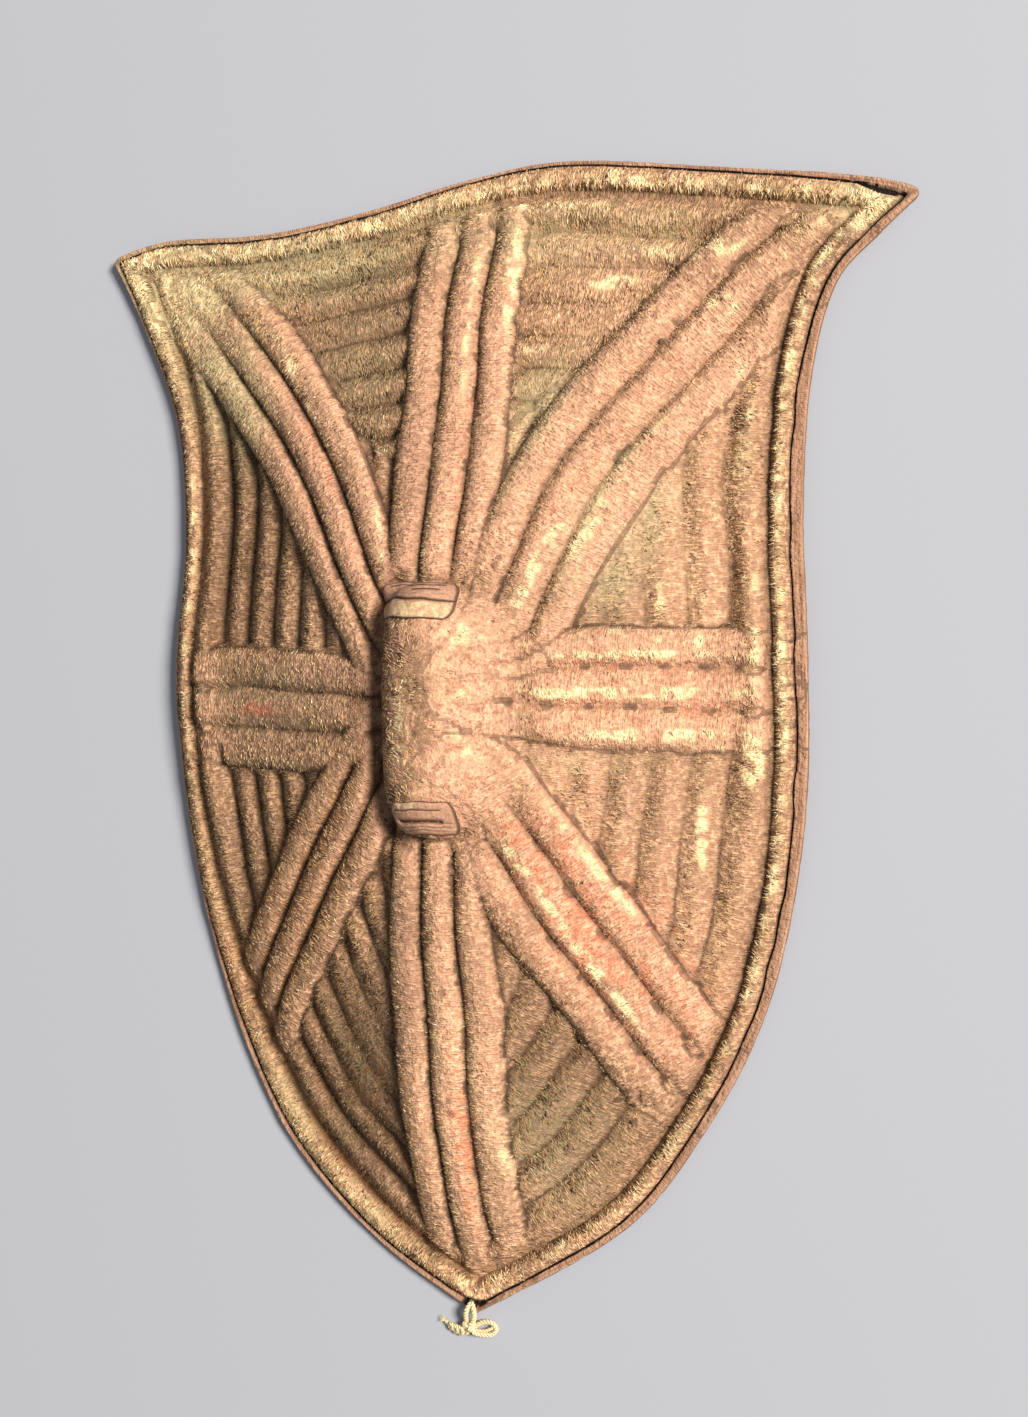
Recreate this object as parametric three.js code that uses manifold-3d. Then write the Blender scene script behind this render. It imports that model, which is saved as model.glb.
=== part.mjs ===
// An embossed hide shield, lying on its back with the hair side up.
// One hide is pressed into a dome with a boss for the hand, eight raised bands of three ribs that
// run out from the boss, nested ribs between the bands, a rolled border and a turned-up hem.
// A folded rawhide strap goes through two slots to make the grip, and a cord is tied at the foot.
// Millimetres, +Z up, +Y towards the horned edge.
import * as THREE from 'three';
import { mergeVertices } from 'three/addons/utils/BufferGeometryUtils.js';
import Module from 'manifold-3d';

// ---- Driving dimensions ------------------------------------------------------------------------

const HIDE = 5; // thickness of the dried hide
const GAP = 0.35; // air between pieces that touch

// The outline in three runs that meet at the two horns and at the foot.
const HORN_LEFT = [-373, 455];
const HORN_RIGHT = [376, 459];
const FOOT = [-19, -498];
const TOP_EDGE = [HORN_LEFT, [-317, 468], [-216, 467], [-117, 480], [-22, 500], [71, 509],
  [204, 493], [331, 474], HORN_RIGHT];
const RIGHT_EDGE = [HORN_RIGHT, [339, 426], [303, 387], [282, 310], [275, 200], [279, 80], [278, -30],
  [264, -136], [236, -235], [187, -327], [115, -416], FOOT];
const LEFT_EDGE = [FOOT, [-112, -440], [-192, -360], [-240, -272], [-274, -173], [-295, -70],
  [-307, 60], [-298, 190], [-307, 300], [-342, 392], HORN_LEFT];

// The dome: its height grows with the distance from the edge.
const DOME_SLOPE = 0.56;
const HORN_FALL = { share: 0.35, from: 120, to: 400 }; // the horned half falls away, between these Y
const SIDE_LIFT = { rise: 13, middle: 70, spread: 130 }; // the sides stand steeper at the waist
const FOOT_DROP = { fall: 8, from: -90, to: -240 }; // and the lower border lies flatter
const SHOULDER = { away: 22, spread: 24 }; // where, in from the hem, those two show most

// The border: the hem, the crevice behind it, the roll and the groove inside it, from the edge in.
const HEM_RISE = 5;
const HEM_FALL = 1.5; // the hem slopes down this much to the crevice
const HEM_WIDTH = 9;
const CREVICE = 10.5;
const ROLL_CREST = 20;
const ROLL_RISE = 11;
const GROOVE = 31;

// The ribs.
const PANEL_PITCH = 31;
const PANEL_RIB = 7;
const PANEL_SINK = 8; // the panels lie this much lower than the bands
const PANEL_ROWS = 9; // crests and creases, as many as the widest panel has
const BAND_RIB = 9;
const RIB_ROUNDNESS = 2.2; // the power that rounds a crest and keeps its creases sharp
const RIB_RUNOUT = 5; // the ribs die away into the groove over three of these
const ROOT_PITCH = { share: 0.85, until: 0.4 }; // a band's ribs start narrower, over this much of it
const LEDGE = 0.25; // the step from a band down to its panel, in ribs
const RIBS_IN_BAND = 3;
const BAND_HALF = RIBS_IN_BAND / 2;
const BANDS = [
  { pitch: 33, root: [-10, 125], bend: [-10, 300], end: [-8, 490] },
  { pitch: 36, root: [50, 98], bend: [88, 268], end: [285, 432] },
  { pitch: 34, root: [35, 58], bend: [140, 48], end: [262, 48] },
  { pitch: 34, root: [20, -28], bend: [96, -148], end: [180, -280] },
  { pitch: 33, root: [-12, -65], bend: [-15, -260], end: [-13, -475] },
  { pitch: 31, root: [-60, 5], bend: [-138, -112], end: [-226, -248] },
  { pitch: 35, root: [-60, 30], bend: [-150, 33], end: [-285, 38] },
  { pitch: 32, root: [-58, 95], bend: [-142, 281], end: [-290, 420] },
];

// The boss that gives the knuckles room.
const BOSS = {
  x: -13, y: 34, halfWidth: 43, halfLength: 106, rise: 33,
  acrossPower: 2.5, alongPower: 5, // flat ends and full sides
  skirt: 4, skirtFrom: 0.9, skirtTo: 1.6, // the smooth skin round its foot
};

// The grip strap and its slots.
const STRAP = { width: 60, thick: 5, tabLength: 28, tabThick: 6, tabFall: 1.5, bed: 2, bar: 105 };
const LEVEL = 500; // where the strap's tabs are drawn before they are bent
const SLOT_TOP = BOSS.y + 90;
const SLOT_BOTTOM = BOSS.y - 88;
const SLOT_PLAY = 0.8;

// The tie cord at the foot, and the slit that it goes through.
const CORD = 4.4;
const CORD_SIDES = 8;
const CORD_STEPS = 40;
const SLIT = { x: -21, y: -487, width: 15, length: 5 };
const CORD_ROUTE = [[-28, -509, 1], [-28.5, -502, 6.5], [-26.5, -494, 10.1], [-23, -490, 10.3],
  [-20, -493, 10.1], [-20.5, -501, 7.6], [-23, -509, 5.2], [-22, -516, 3.7], [-13, -518.5, 1.4],
  [-5, -517, -0.5], [-1.5, -511.5, -0.6], [-6, -506.5, -0.6], [-15, -507, -0.2], [-24, -512, -0.6],
  [-33, -516, -0.6], [-42, -514, -0.6], [-50, -509, -0.6]];

// Spacing of the mesh: the outline as measured, along the border, along the ribs, and the least
// room round a point of the border and of a rib.
const RIM_STEP = 8;
const EDGE_STEP = 26;
const RIB_STEP = 25;
const BORDER_ROOM = 1.2;
const RIB_ROOM = 7;
const CURVE_PARTS = 24;

// ---- The outline and the distance from it ------------------------------------------------------

const spline = (points) => new THREE.SplineCurve(points.map(([x, y]) => new THREE.Vector2(x, y)));
const RUNS = [TOP_EDGE, RIGHT_EDGE, LEFT_EDGE].map(spline);

// Evenly spaced points round the outline, clockwise, with a point on each horn and on the foot.
function outline(step) {
  return RUNS.flatMap((run) => {
    const count = Math.round(run.getLength() / step);
    return run.getSpacedPoints(count).slice(0, count);
  });
}

const RIM = outline(RIM_STEP);
const RIM_PARTS = RIM.map((a, i) => {
  const b = RIM[(i + 1) % RIM.length];
  return { a, b, middle: a.clone().lerp(b, 0.5), length: a.distanceTo(b) };
});

const clamp = THREE.MathUtils.clamp;
const smooth = (value, from, to) => THREE.MathUtils.smoothstep(value, from, to);
const mix = THREE.MathUtils.lerp;

// The nearest place on a line part, as a share of its length and a distance.
function nearestOnPart(x, y, a, b) {
  const dx = b.x - a.x;
  const dy = b.y - a.y;
  const share = clamp(((x - a.x) * dx + (y - a.y) * dy) / (dx * dx + dy * dy), 0, 1);
  return { share, distance: Math.hypot(x - a.x - share * dx, y - a.y - share * dy) };
}

function edgeDistance(x, y) {
  return Math.min(...RIM_PARTS.map(({ a, b }) => nearestOnPart(x, y, a, b).distance));
}

// A distance from the edge without a crease where two edges are equally near: the whole edge
// counts, each part of it by the inverse fourth power of its distance.
function softDistance(x, y) {
  const least = (RIM_STEP / 2) ** 2;
  let sum = 0;
  for (const { middle, length } of RIM_PARTS) {
    const square = (x - middle.x) ** 2 + (y - middle.y) ** 2;
    sum += length / Math.max(square, least) ** 2;
  }
  // A straight edge on its own gives PI / 2 over the cube of the distance.
  return (sum / (Math.PI / 2)) ** (-1 / 3);
}

function inside(x, y) {
  let odd = false;
  for (const { a, b } of RIM_PARTS) {
    if (a.y > y !== b.y > y && x < a.x + ((y - a.y) / (b.y - a.y)) * (b.x - a.x)) odd = !odd;
  }
  return odd;
}

// ---- The relief --------------------------------------------------------------------------------

// Height of a row of ribs with round crests and sharp creases: 1 at whole numbers, 0 halfway.
const ribs = (phase) => 1 - (2 * Math.abs(phase - Math.round(phase))) ** RIB_ROUNDNESS;

for (const band of BANDS) {
  const ends = [band.root, band.bend, band.end].map(([x, y]) => new THREE.Vector2(x, y));
  band.curve = new THREE.QuadraticBezierCurve(...ends);
  band.points = band.curve.getPoints(CURVE_PARTS);
}

// The ribs are narrower where a band starts at the boss.
function pitchAt(band, along) {
  return band.pitch * mix(ROOT_PITCH.share, 1, smooth(along, 0, ROOT_PITCH.until));
}

// Where a point lies on a band: how far along it, and how many ribs to the side of its middle.
function onBand(band, x, y) {
  let best = { distance: Infinity };
  for (let i = 0; i < CURVE_PARTS; i += 1) {
    const near = nearestOnPart(x, y, band.points[i], band.points[i + 1]);
    if (near.distance < best.distance) best = { ...near, along: (i + near.share) / CURVE_PARTS };
  }
  return { along: best.along, across: best.distance / pitchAt(band, best.along) };
}

// A bell curve: 1 at its middle.
const bell = (value, middle, spread) => Math.exp(-(((value - middle) / spread) ** 2));

function dome(x, y) {
  const away = Math.max(0, softDistance(x, y) - HEM_WIDTH);
  const slope = DOME_SLOPE * (1 - HORN_FALL.share * smooth(y, HORN_FALL.from, HORN_FALL.to));
  const lift = SIDE_LIFT.rise * bell(y, SIDE_LIFT.middle, SIDE_LIFT.spread)
    - FOOT_DROP.fall * smooth(-y, -FOOT_DROP.from, -FOOT_DROP.to);
  return slope * away + lift * bell(away, SHOULDER.away, SHOULDER.spread);
}

// The border's own rise over the dome, by the distance from the edge.
function border(distance) {
  if (distance < HEM_WIDTH) return HEM_RISE - HEM_FALL * (distance / HEM_WIDTH);
  if (distance < CREVICE) {
    return (HEM_RISE - HEM_FALL) * ((CREVICE - distance) / (CREVICE - HEM_WIDTH));
  }
  if (distance < ROLL_CREST) {
    return ROLL_RISE * Math.sqrt(1 - ((ROLL_CREST - distance) / (ROLL_CREST - CREVICE)) ** 2);
  }
  return ROLL_RISE * (1 - ((distance - ROLL_CREST) / (GROOVE - ROLL_CREST)) ** 2);
}

function bossShare(x, y) {
  const across = Math.abs((x - BOSS.x) / BOSS.halfWidth);
  const along = Math.abs((y - BOSS.y) / BOSS.halfLength);
  return across ** BOSS.acrossPower + along ** BOSS.alongPower;
}

// Height of the hair side over the floor.
function hairSide(x, y) {
  const distance = edgeDistance(x, y);
  const base = HIDE + dome(x, y);
  if (distance <= GROOVE) return base + border(distance);
  const sink = PANEL_SINK * smooth(distance, GROOVE, 2 * GROOVE);
  let relief = PANEL_RIB * ribs((distance - GROOVE) / PANEL_PITCH + 0.5) - sink;
  for (const band of BANDS) {
    const { across } = onBand(band, x, y);
    const rise = BAND_RIB * ribs(Math.min(across, BAND_HALF));
    const ledge = smooth(across, BAND_HALF, BAND_HALF + LEDGE);
    relief = Math.max(relief, mix(rise, relief, ledge));
  }
  relief *= smooth(distance, GROOVE - RIB_RUNOUT, GROOVE + 2 * RIB_RUNOUT);
  const share = bossShare(x, y);
  const bare = mix(BOSS.skirt, relief, smooth(share, BOSS.skirtFrom, BOSS.skirtTo));
  return base + bare + BOSS.rise * Math.sqrt(Math.max(0, 1 - share));
}

// ---- Points for the hide's mesh ----------------------------------------------------------------

// Rows of points at a distance inside the outline, without those that another edge is nearer to.
function ring(distance, keep = () => true) {
  const rim = outline(EDGE_STEP);
  return rim.flatMap((point, i) => {
    const before = rim[(i + rim.length - 1) % rim.length];
    const after = rim[(i + 1) % rim.length];
    const along = after.clone().sub(before).normalize();
    const x = point.x + along.y * distance;
    const y = point.y - along.x * distance;
    const clear = distance === 0 || (inside(x, y) && edgeDistance(x, y) > distance - 1);
    return clear && keep(x, y) ? [[x, y]] : [];
  });
}

// Outside the boss and the smooth skin round it.
const offBoss = (x, y) => bossShare(x, y) > 2;

function bandPoints() {
  const points = [];
  for (const band of BANDS) {
    const count = Math.round(band.curve.getLength() / RIB_STEP);
    for (let row = -RIBS_IN_BAND; row <= RIBS_IN_BAND; row += 1) {
      for (let i = 0; i <= count; i += 1) {
        const along = i / count;
        const middle = band.curve.getPoint(along);
        const way = band.curve.getTangent(along);
        const aside = (row / 2) * pitchAt(band, along);
        const x = middle.x - way.y * aside;
        const y = middle.y + way.x * aside;
        const clear = inside(x, y) && edgeDistance(x, y) > GROOVE + RIB_RUNOUT;
        if (clear && offBoss(x, y)) points.push([x, y]);
      }
    }
  }
  return points;
}

// Rings round the boss, at these shares of its size, closer where its side is steep.
const BOSS_RINGS = [
  { size: 0.5, count: 12 }, { size: 0.78, count: 18 }, { size: 0.92, count: 24 },
  { size: 0.99, count: 28 }, { size: 1.06, count: 28 }, { size: 1.25, count: 24 },
];
const signedPower = (value, power) => Math.sign(value) * Math.abs(value) ** power;

function bossPoints() {
  const points = [[BOSS.x, BOSS.y]];
  for (const { size, count } of BOSS_RINGS) {
    for (let i = 0; i < count; i += 1) {
      const turn = (2 * Math.PI * i) / count;
      const across = signedPower(Math.cos(turn), 0.7);
      const along = signedPower(Math.sin(turn), 0.55);
      points.push([BOSS.x + size * BOSS.halfWidth * across, BOSS.y + size * BOSS.halfLength * along]);
    }
  }
  return points;
}

function hidePoints() {
  const borderRows = [0, 4, HEM_WIDTH, CREVICE, 14, ROLL_CREST, 27, GROOVE];
  const rows = borderRows.map((distance) => ring(distance));
  const offBand = (band, x, y) => onBand(band, x, y).across > BAND_HALF + LEDGE;
  const inPanel = (x, y) => offBoss(x, y) && BANDS.every((band) => offBand(band, x, y));
  const panelRows = [];
  for (let row = 1; row <= PANEL_ROWS; row += 1) {
    panelRows.push(...ring(GROOVE + (row * PANEL_PITCH) / 2, inPanel));
  }
  const kept = [];
  const add = (points, room) => points.forEach(([x, y]) => {
    if (kept.every(([a, b]) => Math.hypot(a - x, b - y) > room)) kept.push([x, y]);
  });
  add([...rows.flat(), ...bossPoints()], BORDER_ROOM);
  add([...bandPoints(), ...panelRows], RIB_ROOM);
  return kept;
}

// Delaunay triangles over the points, by adding one point at a time.
function delaunay(points) {
  const far = 5000; // three corners well outside every point
  const all = [...points, [-far, -far], [far, -far], [0, far]];
  const circle = (a, b, c) => {
    const [ax, ay] = all[a];
    const [bx, by] = [all[b][0] - ax, all[b][1] - ay];
    const [cx, cy] = [all[c][0] - ax, all[c][1] - ay];
    const twice = 2 * (bx * cy - by * cx);
    const x = (cy * (bx * bx + by * by) - by * (cx * cx + cy * cy)) / twice;
    const y = (bx * (cx * cx + cy * cy) - cx * (bx * bx + by * by)) / twice;
    return { corners: [a, b, c], x: ax + x, y: ay + y, square: x * x + y * y };
  };
  let triangles = [circle(points.length, points.length + 1, points.length + 2)];
  points.forEach(([x, y], index) => {
    const sides = new Map();
    triangles = triangles.filter((t) => {
      if ((x - t.x) ** 2 + (y - t.y) ** 2 >= t.square) return true;
      for (let i = 0; i < 3; i += 1) {
        const [a, b] = [t.corners[i], t.corners[(i + 1) % 3]];
        if (!sides.delete(`${b},${a}`)) sides.set(`${a},${b}`, [a, b]);
      }
      return false;
    });
    for (const [a, b] of sides.values()) triangles.push(circle(a, b, index));
  });
  return triangles.map((t) => t.corners).filter((t) => t.every((corner) => corner < points.length));
}

// ---- Solids ------------------------------------------------------------------------------------

const wasm = await Module();
wasm.setup();

function toSolid(geometry) {
  const bare = geometry.index ? geometry.toNonIndexed() : geometry.clone();
  bare.deleteAttribute('normal');
  bare.deleteAttribute('uv');
  const merged = mergeVertices(bare, 1e-4);
  const vertProperties = new Float32Array(merged.attributes.position.array);
  const triVerts = new Uint32Array(merged.index.array);
  return new wasm.Manifold(new wasm.Mesh({ numProp: 3, vertProperties, triVerts }));
}

function toGeometry(solid) {
  const { vertProperties, triVerts, numProp } = solid.getMesh();
  const geometry = new THREE.BufferGeometry();
  const position = new Float32Array((vertProperties.length / numProp) * 3);
  for (let i = 0; i < position.length; i += 1) {
    position[i] = vertProperties[Math.floor(i / 3) * numProp + (i % 3)];
  }
  geometry.setAttribute('position', new THREE.BufferAttribute(position, 3));
  geometry.setIndex([...triVerts]);
  geometry.computeVertexNormals();
  return geometry;
}

function box(width, length, height, x, y, z) {
  return new THREE.BoxGeometry(width, length, height).translate(x, y, z);
}

// The hide: hair side, flesh side straight below it, and the cut edge all round.
function hideSheet() {
  const points = hidePoints();
  const heights = points.map(([x, y]) => hairSide(x, y));
  const count = points.length;
  const position = [];
  points.forEach(([x, y], i) => position.push(x, y, heights[i]));
  points.forEach(([x, y], i) => position.push(x, y, heights[i] - HIDE));
  const index = [];
  const sides = new Map();
  for (const [a, b, c] of delaunay(points)) {
    const x = (points[a][0] + points[b][0] + points[c][0]) / 3;
    const y = (points[a][1] + points[b][1] + points[c][1]) / 3;
    if (!inside(x, y)) continue;
    index.push(a, b, c, a + count, c + count, b + count);
    for (const [from, to] of [[a, b], [b, c], [c, a]]) {
      if (!sides.delete(`${to},${from}`)) sides.set(`${from},${to}`, [from, to]);
    }
  }
  for (const [from, to] of sides.values()) {
    index.push(from, from + count, to, to, from + count, to + count);
  }
  const geometry = new THREE.BufferGeometry();
  geometry.setAttribute('position', new THREE.Float32BufferAttribute(position, 3));
  geometry.setIndex(index);
  return geometry;
}

// The grip strap from the side: a tab on the hair side, a leg through each slot and the bar behind.
// The tabs and the tops of the legs are drawn on a level hide, which they are then bent over.
function strapProfile() {
  const half = STRAP.thick / 2;
  const tab = STRAP.tabLength / 2;
  const bar = STRAP.bar;
  const profile = [
    [SLOT_BOTTOM - tab, LEVEL + STRAP.tabThick - STRAP.tabFall],
    [SLOT_BOTTOM, LEVEL + STRAP.tabThick],
    [SLOT_BOTTOM + tab, LEVEL + STRAP.tabThick], [SLOT_BOTTOM + tab, LEVEL - STRAP.bed],
    [SLOT_BOTTOM + half, LEVEL - STRAP.bed], [SLOT_BOTTOM + half, bar + STRAP.thick],
    [SLOT_TOP - half, bar + STRAP.thick], [SLOT_TOP - half, LEVEL - STRAP.bed],
    [SLOT_TOP - tab, LEVEL - STRAP.bed], [SLOT_TOP - tab, LEVEL + STRAP.tabThick],
    [SLOT_TOP, LEVEL + STRAP.tabThick],
    [SLOT_TOP + tab, LEVEL + STRAP.tabThick - STRAP.tabFall],
    [SLOT_TOP + tab, LEVEL - STRAP.bed], [SLOT_TOP + half, LEVEL - STRAP.bed],
    [SLOT_TOP + half, bar], [SLOT_BOTTOM - half, bar],
    [SLOT_BOTTOM - half, LEVEL - STRAP.bed], [SLOT_BOTTOM - tab, LEVEL - STRAP.bed],
  ];
  return new THREE.Shape(profile.map(([y, z]) => new THREE.Vector2(y, z)));
}

const geometryOf = {};

// A cut straight down through the hide.
const THROUGH = 120;
const cut = (width, length, x, y) => toSolid(box(width, length, THROUGH, x, y, hairSide(x, y)));

const hide = toSolid(hideSheet());
const slotCut = (y) => cut(STRAP.width + SLOT_PLAY, STRAP.thick + SLOT_PLAY, BOSS.x, y);
const slitCut = cut(SLIT.width, SLIT.length, SLIT.x, SLIT.y);
const shell = hide.subtract(slotCut(SLOT_TOP)).subtract(slotCut(SLOT_BOTTOM)).subtract(slitCut);
geometryOf.hide_shell = toGeometry(shell);

// The strap's profile is drawn in Y and Z, then turned to run along X.
const STRAP_STEPS = 8;
const strap = new THREE.ExtrudeGeometry(strapProfile(), {
  depth: STRAP.width, steps: STRAP_STEPS, bevelEnabled: false,
});
strap.applyMatrix4(new THREE.Matrix4().makeBasis(
  new THREE.Vector3(0, 1, 0), new THREE.Vector3(0, 0, 1), new THREE.Vector3(1, 0, 0),
));
strap.translate(BOSS.x - STRAP.width / 2, 0, 0);

// The tabs bend over the boss with the hide under them.
const strapPlaces = strap.attributes.position;
for (let i = 0; i < strapPlaces.count; i += 1) {
  const [x, y, z] = [strapPlaces.getX(i), strapPlaces.getY(i), strapPlaces.getZ(i)];
  if (z > LEVEL - STRAP.bed - 1) strapPlaces.setZ(i, z - LEVEL + hairSide(x, y));
}
// Their undersides are cut to the hide, and the crumbs of that cut are dropped.
const cutStrap = toSolid(strap).subtract(shell.translate(0, 0, GAP)).decompose();
const wholeStrap = cutStrap.reduce((kept, crumb) => (crumb.volume() > kept.volume() ? crumb : kept));
geometryOf.grip_strap = toGeometry(wholeStrap);

// The tie cord: a plain tube along its route.
const route = new THREE.CatmullRomCurve3(CORD_ROUTE.map(([x, y, z]) => new THREE.Vector3(x, y, z)));
const section = new THREE.Shape();
for (let i = 0; i < CORD_SIDES; i += 1) {
  const turn = (2 * Math.PI * i) / CORD_SIDES;
  section[i ? 'lineTo' : 'moveTo']((CORD / 2) * Math.cos(turn), (CORD / 2) * Math.sin(turn));
}
geometryOf.tie_cord = new THREE.ExtrudeGeometry(section, {
  steps: CORD_STEPS, bevelEnabled: false, extrudePath: route,
});

// ---- The model ---------------------------------------------------------------------------------

const FINISHES = {
  hide_shell: { color: 0xa8765a, roughness: 0.85, metalness: 0 },
  grip_strap: { color: 0xcfae84, roughness: 0.75, metalness: 0 },
  tie_cord: { color: 0xe6d9b8, roughness: 0.9, metalness: 0 },
};

// The origin is on the floor, under the middle of the hide's outline.
const extent = new THREE.Box3().setFromBufferAttribute(geometryOf.hide_shell.attributes.position);
const middle = extent.getCenter(new THREE.Vector3());
const model = new THREE.Group();
model.position.set(-middle.x, -middle.y, -extent.min.z);
for (const [name, geometry] of Object.entries(geometryOf)) {
  const mesh = new THREE.Mesh(geometry, new THREE.MeshStandardMaterial(FINISHES[name]));
  mesh.name = name;
  model.add(mesh);
}

export default model;
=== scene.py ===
"""An embossed hide shield, lying on its back with its hair side up.

The hide is one skin pressed into a dome, with a boss, eight bands of three ribs, ribs nested
between the bands, a rolled border and a turned hem. A coat of short hair, the folded grip strap and
the cotton tie cord at the foot are pieces of their own. Plan sizes are in millimetres, +X to the
right and +Y towards the horns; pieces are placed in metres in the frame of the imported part.
"""

import logging
import math
from dataclasses import dataclass, field
from enum import Enum
from typing import Any

import bpy
import numpy as np
from mathutils import Matrix, Vector
from mathutils.geometry import delaunay_2d_cdt


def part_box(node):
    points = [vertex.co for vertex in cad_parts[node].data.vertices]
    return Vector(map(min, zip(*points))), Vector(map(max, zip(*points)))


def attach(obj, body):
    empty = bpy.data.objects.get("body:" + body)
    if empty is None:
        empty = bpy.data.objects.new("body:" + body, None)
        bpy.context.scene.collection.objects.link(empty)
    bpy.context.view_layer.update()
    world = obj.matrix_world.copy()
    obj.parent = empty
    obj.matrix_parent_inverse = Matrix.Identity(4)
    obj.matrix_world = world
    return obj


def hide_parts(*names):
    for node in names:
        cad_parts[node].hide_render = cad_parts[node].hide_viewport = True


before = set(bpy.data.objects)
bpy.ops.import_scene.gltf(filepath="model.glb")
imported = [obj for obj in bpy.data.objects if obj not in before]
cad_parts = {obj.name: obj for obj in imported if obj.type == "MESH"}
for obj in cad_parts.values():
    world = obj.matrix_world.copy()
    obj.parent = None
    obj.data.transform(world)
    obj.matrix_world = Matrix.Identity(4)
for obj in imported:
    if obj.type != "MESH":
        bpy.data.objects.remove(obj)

Array = np.ndarray
Node = bpy.types.Node
Piece = bpy.types.Object
Material = bpy.types.Material
Point = tuple[float, float]
Spot = tuple[float, float, float]
Line = tuple[Point, ...]
Shell = tuple[Array, Array, dict[str, Array]]
Tube = tuple[Array, Array, Array]
Colour = tuple[float, float, float, float]

LOG = logging.getLogger("shield")
MM = 0.001
BLOCK = 4000  # places measured at a time
BAKE_MAP = "OFBake"


# ---- Small tools ----


def srgb(code: str) -> Colour:
    """Turns an sRGB hex colour into linear light.

    Args:
        code: six hex digits.

    Returns:
        Red, green, blue and an alpha of 1.
    """
    parts = [int(code[i : i + 2], 16) / 255 for i in (0, 2, 4)]
    linear = [c / 12.92 if c <= 0.04045 else ((c + 0.055) / 1.055) ** 2.4 for c in parts]
    return (*linear, 1.0)


def smooth(value: Array, start: float, end: float) -> Array:
    """A soft step from 0 at start to 1 at end."""
    share = np.clip((value - start) / (end - start), 0, 1)
    return share * share * (3 - 2 * share)


def mix(first: Array, second: Array, share: Array) -> Array:
    """Goes from first to second as share goes from 0 to 1."""
    return first + (second - first) * share


def bell(value: Array, middle: float | Array, spread: float) -> Array:
    """A bell curve that is 1 at its middle."""
    return np.exp(-(((value - middle) / spread) ** 2))


def circle_part(share: Array) -> Array:
    """The height of a quarter round: 1 at 0 and 0 at 1."""
    return np.sqrt(np.clip(1 - share**2, 0, 1))


def unit(rows: Array) -> Array:
    """Each row made one long."""
    return rows / np.linalg.norm(rows, axis=1)[:, None]


def inward_from(loop: Array) -> Array:
    """The way into a clockwise open loop at each of its points."""
    way = unit(np.roll(loop, -1, 0) - np.roll(loop, 1, 0))
    return np.stack([way[:, 1], -way[:, 0]], 1)


@dataclass(frozen=True)
class Hills:
    """Smooth random hills between -1 and 1, the same on each run."""

    seed: int
    size: float
    cells: int = 256

    def at(self, x: Array, y: Array) -> Array:
        """Reads the hills.

        Args:
            x: places across, in the unit of size.
            y: places along.

        Returns:
            Their heights.
        """
        table = np.random.default_rng(self.seed).uniform(-1, 1, (self.cells, self.cells))
        u, v = x / self.size, y / self.size
        i, j = np.floor(u).astype(int), np.floor(v).astype(int)
        su, sv = smooth(u - i, 0, 1), smooth(v - j, 0, 1)
        i, j = i % self.cells, j % self.cells
        i2, j2 = (i + 1) % self.cells, (j + 1) % self.cells
        return mix(mix(table[i, j], table[i2, j], su), mix(table[i, j2], table[i2, j2], su), sv)


def catmull_rom(points: list[Point], per_part: int = 60) -> Array:
    """A smooth line through the points, with the end points' own tangents.

    Args:
        points: the places that the line goes through.
        per_part: how many places to give between two of them.

    Returns:
        The places along the line, the last point included.
    """
    p = np.array(points, float)
    p0, p1 = np.vstack([p[:1], p[:-2]]), p[:-1]
    p2, p3 = p[1:], np.vstack([p[2:], p[-1:]])
    t = np.linspace(0, 1, per_part, endpoint=False)[None, :, None]
    v0, v1 = (p2 - p0)[:, None] / 2, (p3 - p1)[:, None] / 2
    a, b = p1[:, None], p2[:, None]
    line = (2 * a - 2 * b + v0 + v1) * t**3 + (3 * b - 3 * a - 2 * v0 - v1) * t**2 + v0 * t + a
    return np.vstack([line.reshape(-1, p.shape[1]), p[-1:]])


def lengths_along(line: Array) -> Array:
    """How far along the line each of its points is."""
    return np.r_[0, np.cumsum(np.linalg.norm(np.diff(line, axis=0), axis=1))]


def evenly(line: Array, step: float) -> tuple[Array, Array]:
    """Even places along a line, without its end.

    Args:
        line: the places that it goes through.
        step: about how far apart the new ones are.

    Returns:
        The places, and each one's share of the length.
    """
    along = lengths_along(line)
    count = max(1, round(along[-1] / step))
    at = np.linspace(0, along[-1], count, endpoint=False)
    places = np.stack([np.interp(at, along, line[:, k]) for k in range(line.shape[1])], 1)
    return places, at / along[-1]


def nearest_on(places: Array, line: Array) -> tuple[Array, Array, Array]:
    """The nearest place on a line to each of these places.

    Args:
        places: where to measure from.
        line: the points of the line.

    Returns:
        The distance, the place along the line in parts, and the side: 1 is left and -1 right.
    """
    start, step = line[:-1], np.diff(line, axis=0)
    square_step = (step**2).sum(1)
    found = np.empty((len(places), 3))
    for first in range(0, len(places), BLOCK):
        away = places[first : first + BLOCK, None] - start
        share = np.clip((away * step).sum(2) / square_step, 0, 1)
        away -= share[..., None] * step
        square = (away**2).sum(2)
        best = square.argmin(1)
        rows = np.arange(len(best))
        off, way = away[rows, best], step[best]
        side = np.where(way[:, 0] * off[:, 1] - way[:, 1] * off[:, 0] > 0, 1.0, -1.0)
        near = np.stack([np.sqrt(square[rows, best]), best + share[rows, best], side], 1)
        found[first : first + BLOCK] = near
    return found[:, 0], found[:, 1], found[:, 2]


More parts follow.
